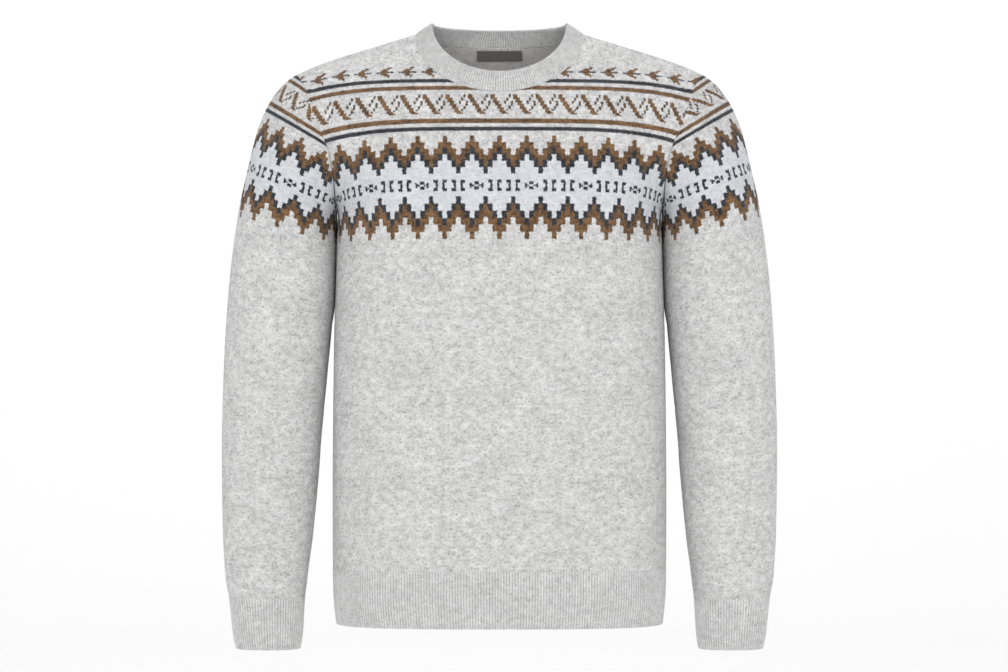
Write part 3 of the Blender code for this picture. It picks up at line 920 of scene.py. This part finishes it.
def punched(column, row, card, mark, first_column):
    """1 where the card has the mark for this stitch. Rows count from the card's top line."""
    line = None
    for number, text in enumerate(card):
        bits = sum(2 ** place for place, sign in enumerate(text) if sign == mark)
        if bits:
            part = row.equals(float(number)) * float(bits)
            line = part if line is None else line + part
    place = (column - float(first_column)).wrap(float(len(card[0])))
    return ((line + 0.5) / place.as_power_of(2.0)).floor().wrap(2.0) > 0.5


print("stitches in the widest card:", len(BARS_AND_DIAMOND[0]))

# %% [markdown]
# The bands have their places on the chart in metres below the shoulder line, measured at the
# centre of the front. The first column that each card starts from sets how its repeats fall about
# the centre line: a zigzag peak and a slanted stroke stand exactly on it.

# %% Bands of the yoke
UPPER_NAVY_LINE = (-0.0549, -0.0592)         # top edge, bottom edge
UPPER_BROWN_LINE = (-0.0634, -0.0680)
LOWER_BROWN_LINE = (-0.1018, -0.1072)
LOWER_NAVY_LINE = (-0.1114, -0.1160)
POINTED_PLACE = (-0.0401, 0.00180, -6)       # top, height of a row, first column
STROKES_PLACE = (-0.0733, 0.00194, -5)
BARS_PLACE = (-0.1718, 0.00187, -22)
UPPER_TIP, UPPER_STEP, UPPER_DEPTH = -0.1217, 0.0073, 0.0215
LOWER_TIP, LOWER_STEP, LOWER_DEPTH = -0.2383, 0.0081, 0.0235
NAVY_EDGE = 0.0085            # the navy part of a zigzag's depth
RAGGED = 0.0030               # how unevenly brown gives way to navy
PAIRS = 6.0                   # a zigzag repeats every 6 pairs of stitches


def fair_isle_chart():
    tree, entry, leave = group("Fair isle chart", [
        ("Column", FLOAT, 0.0), ("Height", FLOAT, 0.0), ("Shade", FLOAT, 0.5),
    ], [("Brown", FLOAT), ("Navy", FLOAT), ("White", FLOAT)])
    column, height, shade = (Wire(tree, entry[label]) for label in ("Column", "Height", "Shade"))

    def line(edges):
        return height.between(edges[1], edges[0])

    def motif(card, mark, place):
        top, row_height, first_column = place
        row = ((height * -1.0 + top) / row_height).floor()
        return punched(column, row, card, mark, first_column)

    from_peak = (((column + 1.0) * 0.5).floor() + PAIRS / 2).wrap(PAIRS)
    from_peak = (from_peak - PAIRS / 2).absolute()
    ragged = (shade - 0.5) * RAGGED
    below_top = height * -1.0 + UPPER_TIP - from_peak * UPPER_STEP
    upper = below_top.between(0.0, UPPER_DEPTH)
    above_bottom = height - LOWER_TIP - from_peak * LOWER_STEP
    lower = above_bottom.between(0.0, LOWER_DEPTH)
    edge = upper * (below_top + ragged > UPPER_DEPTH - NAVY_EDGE)
    edge = edge + lower * (above_bottom + ragged > LOWER_DEPTH - NAVY_EDGE)
    navy = edge + line(UPPER_NAVY_LINE) + line(LOWER_NAVY_LINE) + motif(POINTED_MOTIF, "-", POINTED_PLACE)
    navy = navy + motif(SLANTED_STROKES, "-", STROKES_PLACE) + motif(BARS_AND_DIAMOND, "-", BARS_PLACE)
    brown = (upper + lower - edge) + line(UPPER_BROWN_LINE) + line(LOWER_BROWN_LINE)
    brown = brown + motif(POINTED_MOTIF, "#", POINTED_PLACE) + motif(SLANTED_STROKES, "#", STROKES_PLACE)
    white = (below_top > UPPER_DEPTH) * (above_bottom > LOWER_DEPTH)
    for label, wire in (("Brown", brown), ("Navy", navy), ("White", white)):
        tree.links.new(wire.least(1.0).socket, leave[label])
    return tree


chart_group = fair_isle_chart()
print("chart group nodes:", len(chart_group.nodes))

# %% [markdown]
# ## The knitted cloth's finish
#
# Each yarn is a marl of its own: a dark and a light tone for the ground, for off-white, brown and
# navy. The chart's masks choose between them. The relief of the stitches and the nap of the
# brushed fibres only shape the light, through one Bump node. Wool has no shine, but its fibres
# catch light at grazing angles, which is what Sheen is for.

# %% Yarns
# dark tone, light tone
GROUND_YARN = ((0.35, 0.35, 0.35, 1.0), (0.815, 0.812, 0.81, 1.0))
WHITE_YARN = ((0.48, 0.495, 0.525, 1.0), (0.78, 0.795, 0.825, 1.0))
BROWN_YARN = ((0.050, 0.027, 0.014, 1.0), (0.250, 0.138, 0.064, 1.0))
NAVY_YARN = ((0.006, 0.008, 0.011, 1.0), (0.050, 0.058, 0.070, 1.0))
# painted light: the inside's tones are lighter than the ground yarn's, to stand for light that reaches the
# inside
INSIDE_YARN_WITH_PAINTED_LIGHT = ((0.58, 0.57, 0.555, 1.0), (0.90, 0.89, 0.87, 1.0))
STITCH_RELIEF = 0.55          # share of the bump that is the stitches
BUMP_HEIGHT = 0.0011


def use_group(tree, node_group, label, values=(), wires=()):
    """Place a group in a material's tree, with its values and its incoming wires."""
    node = tree.nodes.new("ShaderNodeGroup")
    node.node_tree = node_group
    node.label = label
    for name, value in dict(values).items():
        node.inputs[name].default_value = value
    for name, socket in dict(wires).items():
        tree.links.new(socket, node.inputs[name])
    return node


def wool(name):
    """A material with a matt woollen shader. Gives it, its tree, its shader and the chart's place."""
    material = bpy.data.materials.new(name)
    material.use_nodes = True
    tree = material.node_tree
    shader = tree.nodes["Principled BSDF"]
    shader.inputs["Roughness"].default_value = 0.92
    shader.inputs["Specular IOR Level"].default_value = 0.12
    shader.inputs["Sheen Weight"].default_value = 0.10
    shader.inputs["Sheen Roughness"].default_value = 0.55
    place = tree.nodes.new("ShaderNodeUVMap")
    place.uv_map = "Chart"
    return material, tree, shader, place.outputs["UV"]


def marl_yarn(tree, place, shade, tones, label, contrast=1.0):
    return use_group(tree, marl_group, label, {"Dark": tones[0], "Light": tones[1], "Contrast": contrast},
                     {"Chart": place, "Shade": shade})


def bump(tree, shader, height, distance):
    node = tree.nodes.new("ShaderNodeBump")
    node.inputs["Strength"].default_value = 1.0
    node.inputs["Distance"].default_value = distance
    tree.links.new(height.socket, node.inputs["Height"])
    tree.links.new(node.outputs["Normal"], shader.inputs["Normal"])


def patterned_knit():
    material, tree, shader, place = wool("Patterned marl knit")
    stitch = use_group(tree, knit_group, "Stitches", {}, {"Chart": place})
    shade = stitch.outputs["Shade"]
    chart = use_group(tree, chart_group, "Bands of the yoke", {}, {
        "Column": stitch.outputs["Column"], "Height": stitch.outputs["Height"], "Shade": shade})
    ground = marl_yarn(tree, place, shade, GROUND_YARN, "Grey marl")
    colour = ground.outputs["Colour"]
    for label, tones, contrast in (("White", WHITE_YARN, 0.9), ("Brown", BROWN_YARN, 1.5),
                                   ("Navy", NAVY_YARN, 1.4)):
        yarn = marl_yarn(tree, place, shade, tones, f"{label} yarn", contrast)
        colour = mixed_colours(tree, chart.outputs[label], colour, yarn.outputs["Colour"])
    tree.links.new(colour, shader.inputs["Base Color"])
    nap = Wire(tree, ground.outputs["Nap"])
    bump(tree, shader, Wire(tree, stitch.outputs["Relief"]) * STITCH_RELIEF + nap, BUMP_HEIGHT)
    return material


def wrong_side():
    """The inside of the knit: plain, with the purl loops' low cross bars, and painted light: its yarn is
    lighter than the outside's grey marl, to stand for light that reaches the inside.
    """
    material, tree, shader, place = wool("Inside of the knit")
    stitch = use_group(tree, knit_group, "Stitches", {}, {"Chart": place})
    yarn = marl_yarn(tree, place, stitch.outputs["Shade"], INSIDE_YARN_WITH_PAINTED_LIGHT, "Grey marl inside", 0.8)
    tree.links.new(yarn.outputs["Colour"], shader.inputs["Base Color"])
    relief = Wire(tree, stitch.outputs["Relief"]) * -STITCH_RELIEF + Wire(tree, yarn.outputs["Nap"])
    bump(tree, shader, relief, BUMP_HEIGHT)
    return material


knit_finish, inside_finish = patterned_knit(), wrong_side()
print("nodes in the patterned finish:", len(knit_finish.node_tree.nodes))

# %% [markdown]
# ## Front and back
#
# Each panel gets its chart first, from its smooth form, so that a crease doesn't bend the bands.
# Then the creases move it, and the cloth is drawn in a little along the armhole, shoulder and
# neck seams, where the sewing holds it.


# %% Make the body panels
ARMHOLE_PLACES, SHOULDER_PLACES, NECK_PLACES = 160, 80, 120      # close points along each seam


def trim_to_seams(points, sides=True, top=True, bottom=True):
    """Stop a panel just short of the seam lines that it shares with its neighbours."""
    points = points.copy()

    def pulled(edge, inner):
        away = inner - edge
        return edge + SEAM_PULL * away / np.linalg.norm(away, axis=-1, keepdims=True)

    if sides:
        points[:, 0] = pulled(points[:, 0], points[:, 1])
        points[:, -1] = pulled(points[:, -1], points[:, -2])
    if bottom:
        points[0] = pulled(points[0], points[1])
    if top:
        points[-1] = pulled(points[-1], points[-2])
    return points


def body_panel(name, face, creases):
    smooth = panels[name]
    turn = 1 if face == FRONT else -1
    chart = np.stack([turn * chart_width_on_body(smooth, face), chart_height_on_body(smooth)], axis=-1)
    outward, flip = outward_normals(smooth, False, smooth * (0, 0, 1))
    left = np.vstack([armhole_line(face, ARMHOLE_PLACES), shoulder_line(SHOULDER_PLACES),
                      neck_line(face, NECK_PLACES)])
    seams = np.vstack([left, left * (-1, 1, 1), smooth[0]])
    inward = crease_depth(smooth, creases)
    to_seam = distance_to(smooth, seams)
    inward = inward * np.clip(to_seam / CREASES_END, 0, 1) + SEAM_TUCK * bell(to_seam, SEAM_TUCK_WIDTH)
    points = trim_to_seams(smooth - inward[..., None] * outward)
    piece = cloth(name + "_knit", points, chart, (knit_finish, inside_finish), flip=flip)
    return thicken(piece, WALL)


front = body_panel("front", FRONT, FRONT_CREASES)
back = body_panel("back", BACK, BACK_CREASES)
print("front faces:", len(front.data.polygons))

# %% [markdown]
# ## The two sleeves
#
# One sleeve is made for the wearer's left, and its mirror image for the right. The chart isn't
# mirrored with it, because the slanted strokes lean the same way all round the real garment.


# %% Make the sleeves
TOUCHING = 0.0001             # the sleeve lies against the body's side from the armpit down to here
GAP_OPENS_Z = -0.332
GAP_OPENS_OVER = 0.02
PRESSED_POWER = 4             # how narrow the pressed stretch of each ring is
FRONT_TO_BACK = 0.02          # front creases give way to back ones within this depth of the middle
CREASES_START_X, CREASES_START_OVER = 0.193, 0.012        # no creases where the sleeve meets the body


def sleeve(side):
    """A sleeve with its first column under the arm, so that the chart breaks at that seam."""
    smooth = np.roll(sleeve_grid, SLEEVE_COLUMNS // 2, axis=1)
    inner_x, inner_z = smooth[:, 0, 0], smooth[:, 0, 2]
    gap = np.clip(inner_x - form_at(inner_z, HALF_WIDTH) - TOUCHING, 0, None)
    pressed = gap * np.clip((inner_z - GAP_OPENS_Z) / GAP_OPENS_OVER, 0, 1)
    turn = 2 * pi * np.arange(SLEEVE_COLUMNS) / SLEEVE_COLUMNS
    smooth[..., 0] -= pressed[:, None] * np.maximum(np.cos(turn), 0) ** PRESSED_POWER
    closed = np.concatenate([smooth, smooth[:, :1]], axis=1)
    chart = chart_on(closed, chart_height_on_sleeve(closed), -side)
    middle = smooth.mean(axis=1, keepdims=True)
    outward, flip = outward_normals(smooth, True, middle)
    on_front = np.clip(-(smooth[..., 1] - middle[..., 1]) / FRONT_TO_BACK, -1, 1) / 2 + 0.5
    inward = (crease_depth(smooth, SLEEVE_FRONT_CREASES) * on_front
              + crease_depth(smooth, SLEEVE_BACK_CREASES) * (1 - on_front))
    to_seam = distance_to(smooth, np.vstack([smooth[0], smooth[-1]]))
    clear_of_body = np.clip((np.abs(smooth[..., 0]) - CREASES_START_X) / CREASES_START_OVER, 0, 1)
    inward = inward * np.clip(to_seam / CREASES_END, 0, 1) * clear_of_body
    inward = inward + SEAM_TUCK * bell(to_seam, SEAM_TUCK_WIDTH)
    points = trim_to_seams(smooth - inward[..., None] * outward, sides=False, bottom=False)
    if side < 0:
        points = points * (-1, 1, 1)
    name = "sleeve_left_knit" if side > 0 else "sleeve_right_knit"
    flip = flip if side > 0 else not flip
    piece = cloth(name, points, chart, (knit_finish, inside_finish), closed=(False, True), flip=flip)
    return thicken(piece, WALL)


sleeve_left, sleeve_right = sleeve(1), sleeve(-1)
print("sleeve faces:", len(sleeve_left.data.polygons))

# %% [markdown]
# ## Ribbed bands
#
# The neck, hem and cuffs are knitted in one by one rib, which is springy and draws the cloth in.
# Each band starts as plain rings of its outer face. They are spaced evenly round, so that every
# rib is equally wide, and then the band gets its inner face and its rounded free edge.

# %% Outer rings of the bands
NECKBAND_TOP_HALF_WIDTH = 0.0768
NECKBAND_TOP_DEPTH = {FRONT: 0.052, BACK: 0.034}
NECKBAND_TOP_Z = {"side": 0.0130, FRONT: -0.0452, BACK: 0.0077}
NECKBAND_BULGE = 0.0012
FINE = 500                    # steps of a quarter ring before it is spaced evenly
BAND_ROWS = 12


def all_round(front, back):
    """Rings from their front and back quarters, which run from the centre line to the side."""
    side = np.concatenate([front, back[:, -2::-1]], axis=1)
    other = side[:, -2:0:-1] * (-1, 1, 1)
    return np.concatenate([side, other], axis=1)


def neckband_quarter(face):
    angle = np.linspace(0, pi / 2, FINE + 1)
    low = on_form(NECK_HALF_WIDTH * np.sin(angle), -NECK_DROP[face] * np.cos(angle), face)
    turn = -1 if face == FRONT else 1
    side_z, centre_z = NECKBAND_TOP_Z["side"], NECKBAND_TOP_Z[face]
    high = np.stack([NECKBAND_TOP_HALF_WIDTH * np.sin(angle),
                     turn * NECKBAND_TOP_DEPTH[face] * np.cos(angle),
                     side_z + (centre_z - side_z) * np.cos(angle)], axis=-1)
    away = low * (1, 1, 0)
    away /= np.linalg.norm(away, axis=-1, keepdims=True)
    share = np.linspace(0, 1, BAND_ROWS + 1)[:, None, None]
    return low + share * (high - low) + away * NECKBAND_BULGE * 4 * share * (1 - share)


def hem_quarter(face):
    return np.array([section_half(z, face, FINE) for z in np.linspace(RIB_TOP_Z, HEM_Z, BAND_ROWS + 1)])


neckband_rings = all_round(neckband_quarter(FRONT), neckband_quarter(BACK))
hem_rings = all_round(hem_quarter(FRONT), hem_quarter(BACK))
cuff_rings = ring_points(tube_rings(CUFF, BAND_ROWS), 4 * FINE)
print("rows in a band:", len(hem_rings))

# %% Band from its rings
STEPS_PER_RIB = 6
EDGE_STEPS = 6
RIB_PITCH = 0.0031
RIB_DEPTH = 0.00050           # a rib's height above and below the band's middle surface
RIB_UNEVENNESS = 0.5          # how much some ribs stand higher than others
RIB_NOISE = 120.0
EDGE_EASE = 0.45              # the ribs are flatter round a free edge
SEAM_EASE = 0.6               # and on the row next to a seam


def evenly_round(rings, columns):
    """The rings with new columns, evenly spaced along the middle ring."""
    closed = np.concatenate([rings, rings[:, :1]], axis=1)
    middle = closed[len(closed) // 2]
    length = np.concatenate([[0], np.cumsum(np.linalg.norm(np.diff(middle, axis=0), axis=1))])
    places = np.arange(columns) * length[-1] / columns
    return np.stack([np.stack([np.interp(places, length, ring[:, k]) for k in range(3)], axis=-1)
                     for ring in closed])


def band(name, rings, wall, ribs, finish):
    """A closed band. Its rings are on its outer face, from its seam to its free edge."""
    columns = ribs * STEPS_PER_RIB
    outer = evenly_round(rings, columns)
    outward, flip = outward_normals(outer, True, outer.mean(axis=1, keepdims=True))
    full = np.ones(len(outer))
    full[:2] = 0.0, SEAM_EASE
    outer = outer - RIB_DEPTH * full[:, None, None] * outward
    onward = (outer[-1] - outer[-2]) / np.linalg.norm(outer[-1] - outer[-2], axis=-1, keepdims=True)
    outer[-1] = outer[-1] - wall / 2 * onward
    outer[0] = outer[0] + SEAM_PULL * onward
    inner = (outer - wall * outward)[::-1]
    turns = np.linspace(0, pi, EDGE_STEPS + 1)[1:-1, None, None]
    edge = outer[-1] - wall / 2 * (1 - np.cos(turns)) * outward[-1] + wall / 2 * np.sin(turns) * onward
    points = np.concatenate([outer, edge, inner])
    closed = np.concatenate([points, points[:1]])[:, 0]
    along = np.concatenate([[0], np.cumsum(np.linalg.norm(np.diff(closed, axis=0), axis=1))])
    rib = np.arange(columns + 1) / STEPS_PER_RIB
    chart = np.stack(np.broadcast_arrays(rib[None, :] * RIB_PITCH, -along[:, None]), axis=-1)
    piece = cloth(name, points, chart, (finish,), closed=(True, True), flip=flip)
    ease = np.concatenate([full, np.full(EDGE_STEPS - 1, EDGE_EASE), full[::-1]])
    store(piece, "rib", np.tile(rib[:-1], len(points)))
    store(piece, "ease", np.repeat(ease, columns))
    return piece


def store(piece, name, values):
    attribute = piece.data.attributes.new(name, "FLOAT", "POINT")
    attribute.data.foreach_set("value", values.astype(np.float32))


print("points round one rib:", STEPS_PER_RIB)

# %% [markdown]
# Geometry Nodes raises the ribs. Each point knows how many ribs it is from the start, and how
# much the rib is eased there. A cosine wave of that number moves the point along its normal, and
# a soft noise makes some ribs stand a little higher than others, as they do in brushed wool.


# %% Ribbing tree
def ribbing():
    tree = bpy.data.node_groups.new("Ribbing", "GeometryNodeTree")
    for label, kind, value in (("Geometry", "NodeSocketGeometry", None), ("Depth", FLOAT, RIB_DEPTH),
                               ("Unevenness", FLOAT, RIB_UNEVENNESS), ("Noise Scale", FLOAT, RIB_NOISE),
                               ("Material", "NodeSocketMaterial", None)):
        socket = tree.interface.new_socket(label, in_out="INPUT", socket_type=kind)
        if value is not None:
            socket.default_value = value
    tree.interface.new_socket("Geometry", in_out="OUTPUT", socket_type="NodeSocketGeometry")
    entry, leave = tree.nodes.new("NodeGroupInput"), tree.nodes.new("NodeGroupOutput")

    def stored(name):
        node = tree.nodes.new("GeometryNodeInputNamedAttribute")
        node.data_type = "FLOAT"
        node.inputs["Name"].default_value = name
        return Wire(tree, node.outputs["Attribute"])

    position = tree.nodes.new("GeometryNodeInputPosition")
    bumps = noise(tree, position.outputs[0], 1.0, detail=1.0)
    tree.links.new(entry.outputs["Noise Scale"], bumps.socket.node.inputs["Scale"])
    wave = (stored("rib") * (2 * pi)).sine_ahead()
    lift = wave * ((bumps - 0.5) * Wire(tree, entry.outputs["Unevenness"]) * 2.0 + 1.0) * stored("ease")
    lift = lift * Wire(tree, entry.outputs["Depth"])
    normal = tree.nodes.new("GeometryNodeInputNormal")
    scaled = tree.nodes.new("ShaderNodeVectorMath")
    scaled.operation = "SCALE"
    tree.links.new(normal.outputs[0], scaled.inputs[0])
    tree.links.new(lift.socket, scaled.inputs["Scale"])
    moved = tree.nodes.new("GeometryNodeSetPosition")
    tree.links.new(entry.outputs["Geometry"], moved.inputs["Geometry"])
    tree.links.new(scaled.outputs[0], moved.inputs["Offset"])
    real = tree.nodes.new("GeometryNodeRealizeInstances")
    tree.links.new(moved.outputs[0], real.inputs[0])
    finish = tree.nodes.new("GeometryNodeSetMaterial")
    tree.links.new(real.outputs[0], finish.inputs["Geometry"])
    tree.links.new(entry.outputs["Material"], finish.inputs["Material"])
    tree.links.new(finish.outputs[0], leave.inputs[0])
    return tree


def apply_tree(piece, tree, values):
    """Run a geometry tree on a piece with these inputs, and keep the result as its mesh."""
    modifier = piece.modifiers.new(tree.name, "NODES")
    modifier.node_group = tree
    for socket in tree.interface.items_tree:
        if socket.in_out == "INPUT" and socket.name in values:
            modifier[socket.identifier] = values[socket.name]
    depsgraph = bpy.context.evaluated_depsgraph_get()
    made = bpy.data.meshes.new_from_object(piece.evaluated_get(depsgraph), depsgraph=depsgraph)
    piece.modifiers.remove(modifier)
    made.name = piece.data.name + "_made"
    piece.data = made
    return piece


ribbing_tree = ribbing()
print("ribbing nodes:", len(ribbing_tree.nodes))

# %% [markdown]
# The rib's finish is the same grey marl. One column of stitches stands on each rib. The furrows
# between them get painted shade: a darker colour, in patches, stands for the little light there.

# %% Rib finish and bands
RIB_YARN = ((0.44, 0.44, 0.438, 1.0), (0.85, 0.848, 0.845, 1.0))
# painted shade: the dark grey that the furrows between the ribs are coloured towards, in patches
PAINTED_FURROW_SHADE = (0.30, 0.30, 0.31, 1.0)
FURROW_SHADE_SHARE = 0.75
SHADE_PATCH_NOISE, SHADE_PATCH_STRENGTH = 260.0, 1.5      # the furrows are dark in patches


def rib_finish():
    material, tree, shader, place = wool("Grey rib")
    stitch = use_group(tree, knit_group, "Stitches", {"Stitch Width": RIB_PITCH}, {"Chart": place})
    yarn = marl_yarn(tree, place, stitch.outputs["Shade"], RIB_YARN, "Grey marl", 0.8)
    split = tree.nodes.new("ShaderNodeSeparateXYZ")
    tree.links.new(place, split.inputs[0])
    across = Wire(tree, split.outputs["X"]) / RIB_PITCH
    # painted shade: the colour darkens in the furrows between the ribs, in patches, where less light falls
    furrow_shade = ((across * (2 * pi)).sine_ahead() * -0.5 + 0.5).power(2.0)
    shade_patches = noise(tree, place, SHADE_PATCH_NOISE, 2.0, 0.6, (1.0, 2.2, 1.0)) * SHADE_PATCH_STRENGTH
    painted_shade = (furrow_shade * shade_patches * FURROW_SHADE_SHARE).least(1.0)
    colour = mixed_colours(tree, painted_shade.socket, yarn.outputs["Colour"], PAINTED_FURROW_SHADE)
    tree.links.new(colour, shader.inputs["Base Color"])
    relief = Wire(tree, stitch.outputs["Relief"]) * STITCH_RELIEF + Wire(tree, yarn.outputs["Nap"])
    bump(tree, shader, relief, BUMP_HEIGHT)
    return material


grey_rib = rib_finish()
BANDS = {
    "neckband_rib": (neckband_rings, NECKBAND_WALL, 172),
    "hem_rib_knit": (hem_rings, RIB_WALL, 318),
    "cuff_left_rib": (cuff_rings, RIB_WALL, 76),
    "cuff_right_rib": (cuff_rings[:, ::-1] * (-1, 1, 1), RIB_WALL, 76),
}
bands = {}
for name, (rings, wall, ribs) in BANDS.items():
    bands[name] = apply_tree(band(name, rings, wall, ribs, grey_rib), ribbing_tree, {
        "Depth": RIB_DEPTH, "Unevenness": RIB_UNEVENNESS, "Noise Scale": RIB_NOISE, "Material": grey_rib})
    print(name, "faces:", len(bands[name].data.polygons))

# %% [markdown]
# ## Neck label
#
# A small woven label lies on the inside of the back, just below the neckband. It follows the
# panel, a little further in, and it is plain.

# %% Label
LABEL_HALF_WIDTH, LABEL_HEIGHT, LABEL_GAP = 0.026, 0.011, 0.0012
LABEL_LIFT, LABEL_THICKNESS = 0.0006, 0.0009
LABEL_COLUMNS, LABEL_ROWS = 48, 12
THREAD = 0.00045              # spacing of the label's threads
THREAD_RELIEF = 0.0002


def label_weave():
    material = plain_material("Label weave", (0.18, 0.178, 0.172), 0.75)
    tree = material.node_tree
    shader = tree.nodes["Principled BSDF"]
    coordinates = tree.nodes.new("ShaderNodeTexCoord")
    split = tree.nodes.new("ShaderNodeSeparateXYZ")
    tree.links.new(coordinates.outputs["Object"], split.inputs[0])
    warp = (Wire(tree, split.outputs["X"]) * (2 * pi / THREAD)).sine()
    weft = (Wire(tree, split.outputs["Z"]) * (2 * pi / THREAD)).sine()
    threads = warp * weft * 0.5 + 0.5
    tone = mixed_colours(tree, threads.socket, (0.14, 0.138, 0.134, 1.0), (0.23, 0.227, 0.22, 1.0))
    tree.links.new(tone, shader.inputs["Base Color"])
    bump(tree, shader, threads, THREAD_RELIEF)
    return material


def label():
    top = -NECK_DROP[BACK] - LABEL_GAP
    x, z = np.meshgrid(np.linspace(-LABEL_HALF_WIDTH, LABEL_HALF_WIDTH, LABEL_COLUMNS + 1),
                       top - LABEL_HEIGHT * np.linspace(0, 1, LABEL_ROWS + 1))
    points = on_form(x, z, BACK)
    outward, _ = outward_normals(points, False, points * (0, 0, 1))
    seam = neck_line(BACK, NECK_PLACES)
    tuck = SEAM_TUCK * bell(distance_to(points, np.vstack([seam, seam * (-1, 1, 1)])), SEAM_TUCK_WIDTH)
    points = points - (WALL + LABEL_LIFT + LABEL_THICKNESS + tuck)[..., None] * outward
    chart = np.stack([x, z], axis=-1)
    piece = cloth("neck_label_weave", points, chart, (label_weave(),))
    if piece.data.polygons[0].normal.y > 0:
        piece.data.flip_normals()
    return thicken(piece, LABEL_THICKNESS)


neck_label = label()
print("label faces:", len(neck_label.data.polygons))

# %% [markdown]
# ## Fasten the pieces to the frame
#
# The frame is the rigid model that a simulation moves. Each piece of cloth rides on its one body
# and takes the place of the plain solid that stands for it there. The table also lists a slot name
# for each piece and the cut of each sheet: how wide and long the flat piece is before it is sewn,
# and its area where that isn't a rectangle.

# %% Ride and replace
# node, slot, flat width and length, flat area
TREATED_AS = {
    front: ("front", "marl_knit", (0.51, 0.645), 0.290),
    back: ("back", "marl_knit", (0.50, 0.656), 0.299),
    sleeve_left: ("sleeve_left", "marl_knit", (0.40, 0.63), 0.191),
    sleeve_right: ("sleeve_right", "marl_knit", (0.40, 0.63), 0.191),
    bands["neckband_rib"]: ("neckband", "grey_rib", (0.53, 0.0235), 0.0111),
    bands["hem_rib_knit"]: ("hem_rib", "grey_rib", (1.00, 0.0645), 0.0643),
    bands["cuff_left_rib"]: ("cuff_left", "grey_rib", (0.24, 0.060), 0.0134),
    bands["cuff_right_rib"]: ("cuff_right", "grey_rib", (0.24, 0.060), 0.0134),
    neck_label: ("neck_label", "label_cloth", (0.052, 0.011), 0.00057),
}
for piece, (node, slot, flat, area) in TREATED_AS.items():
    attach(piece, "root")
    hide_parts(node)
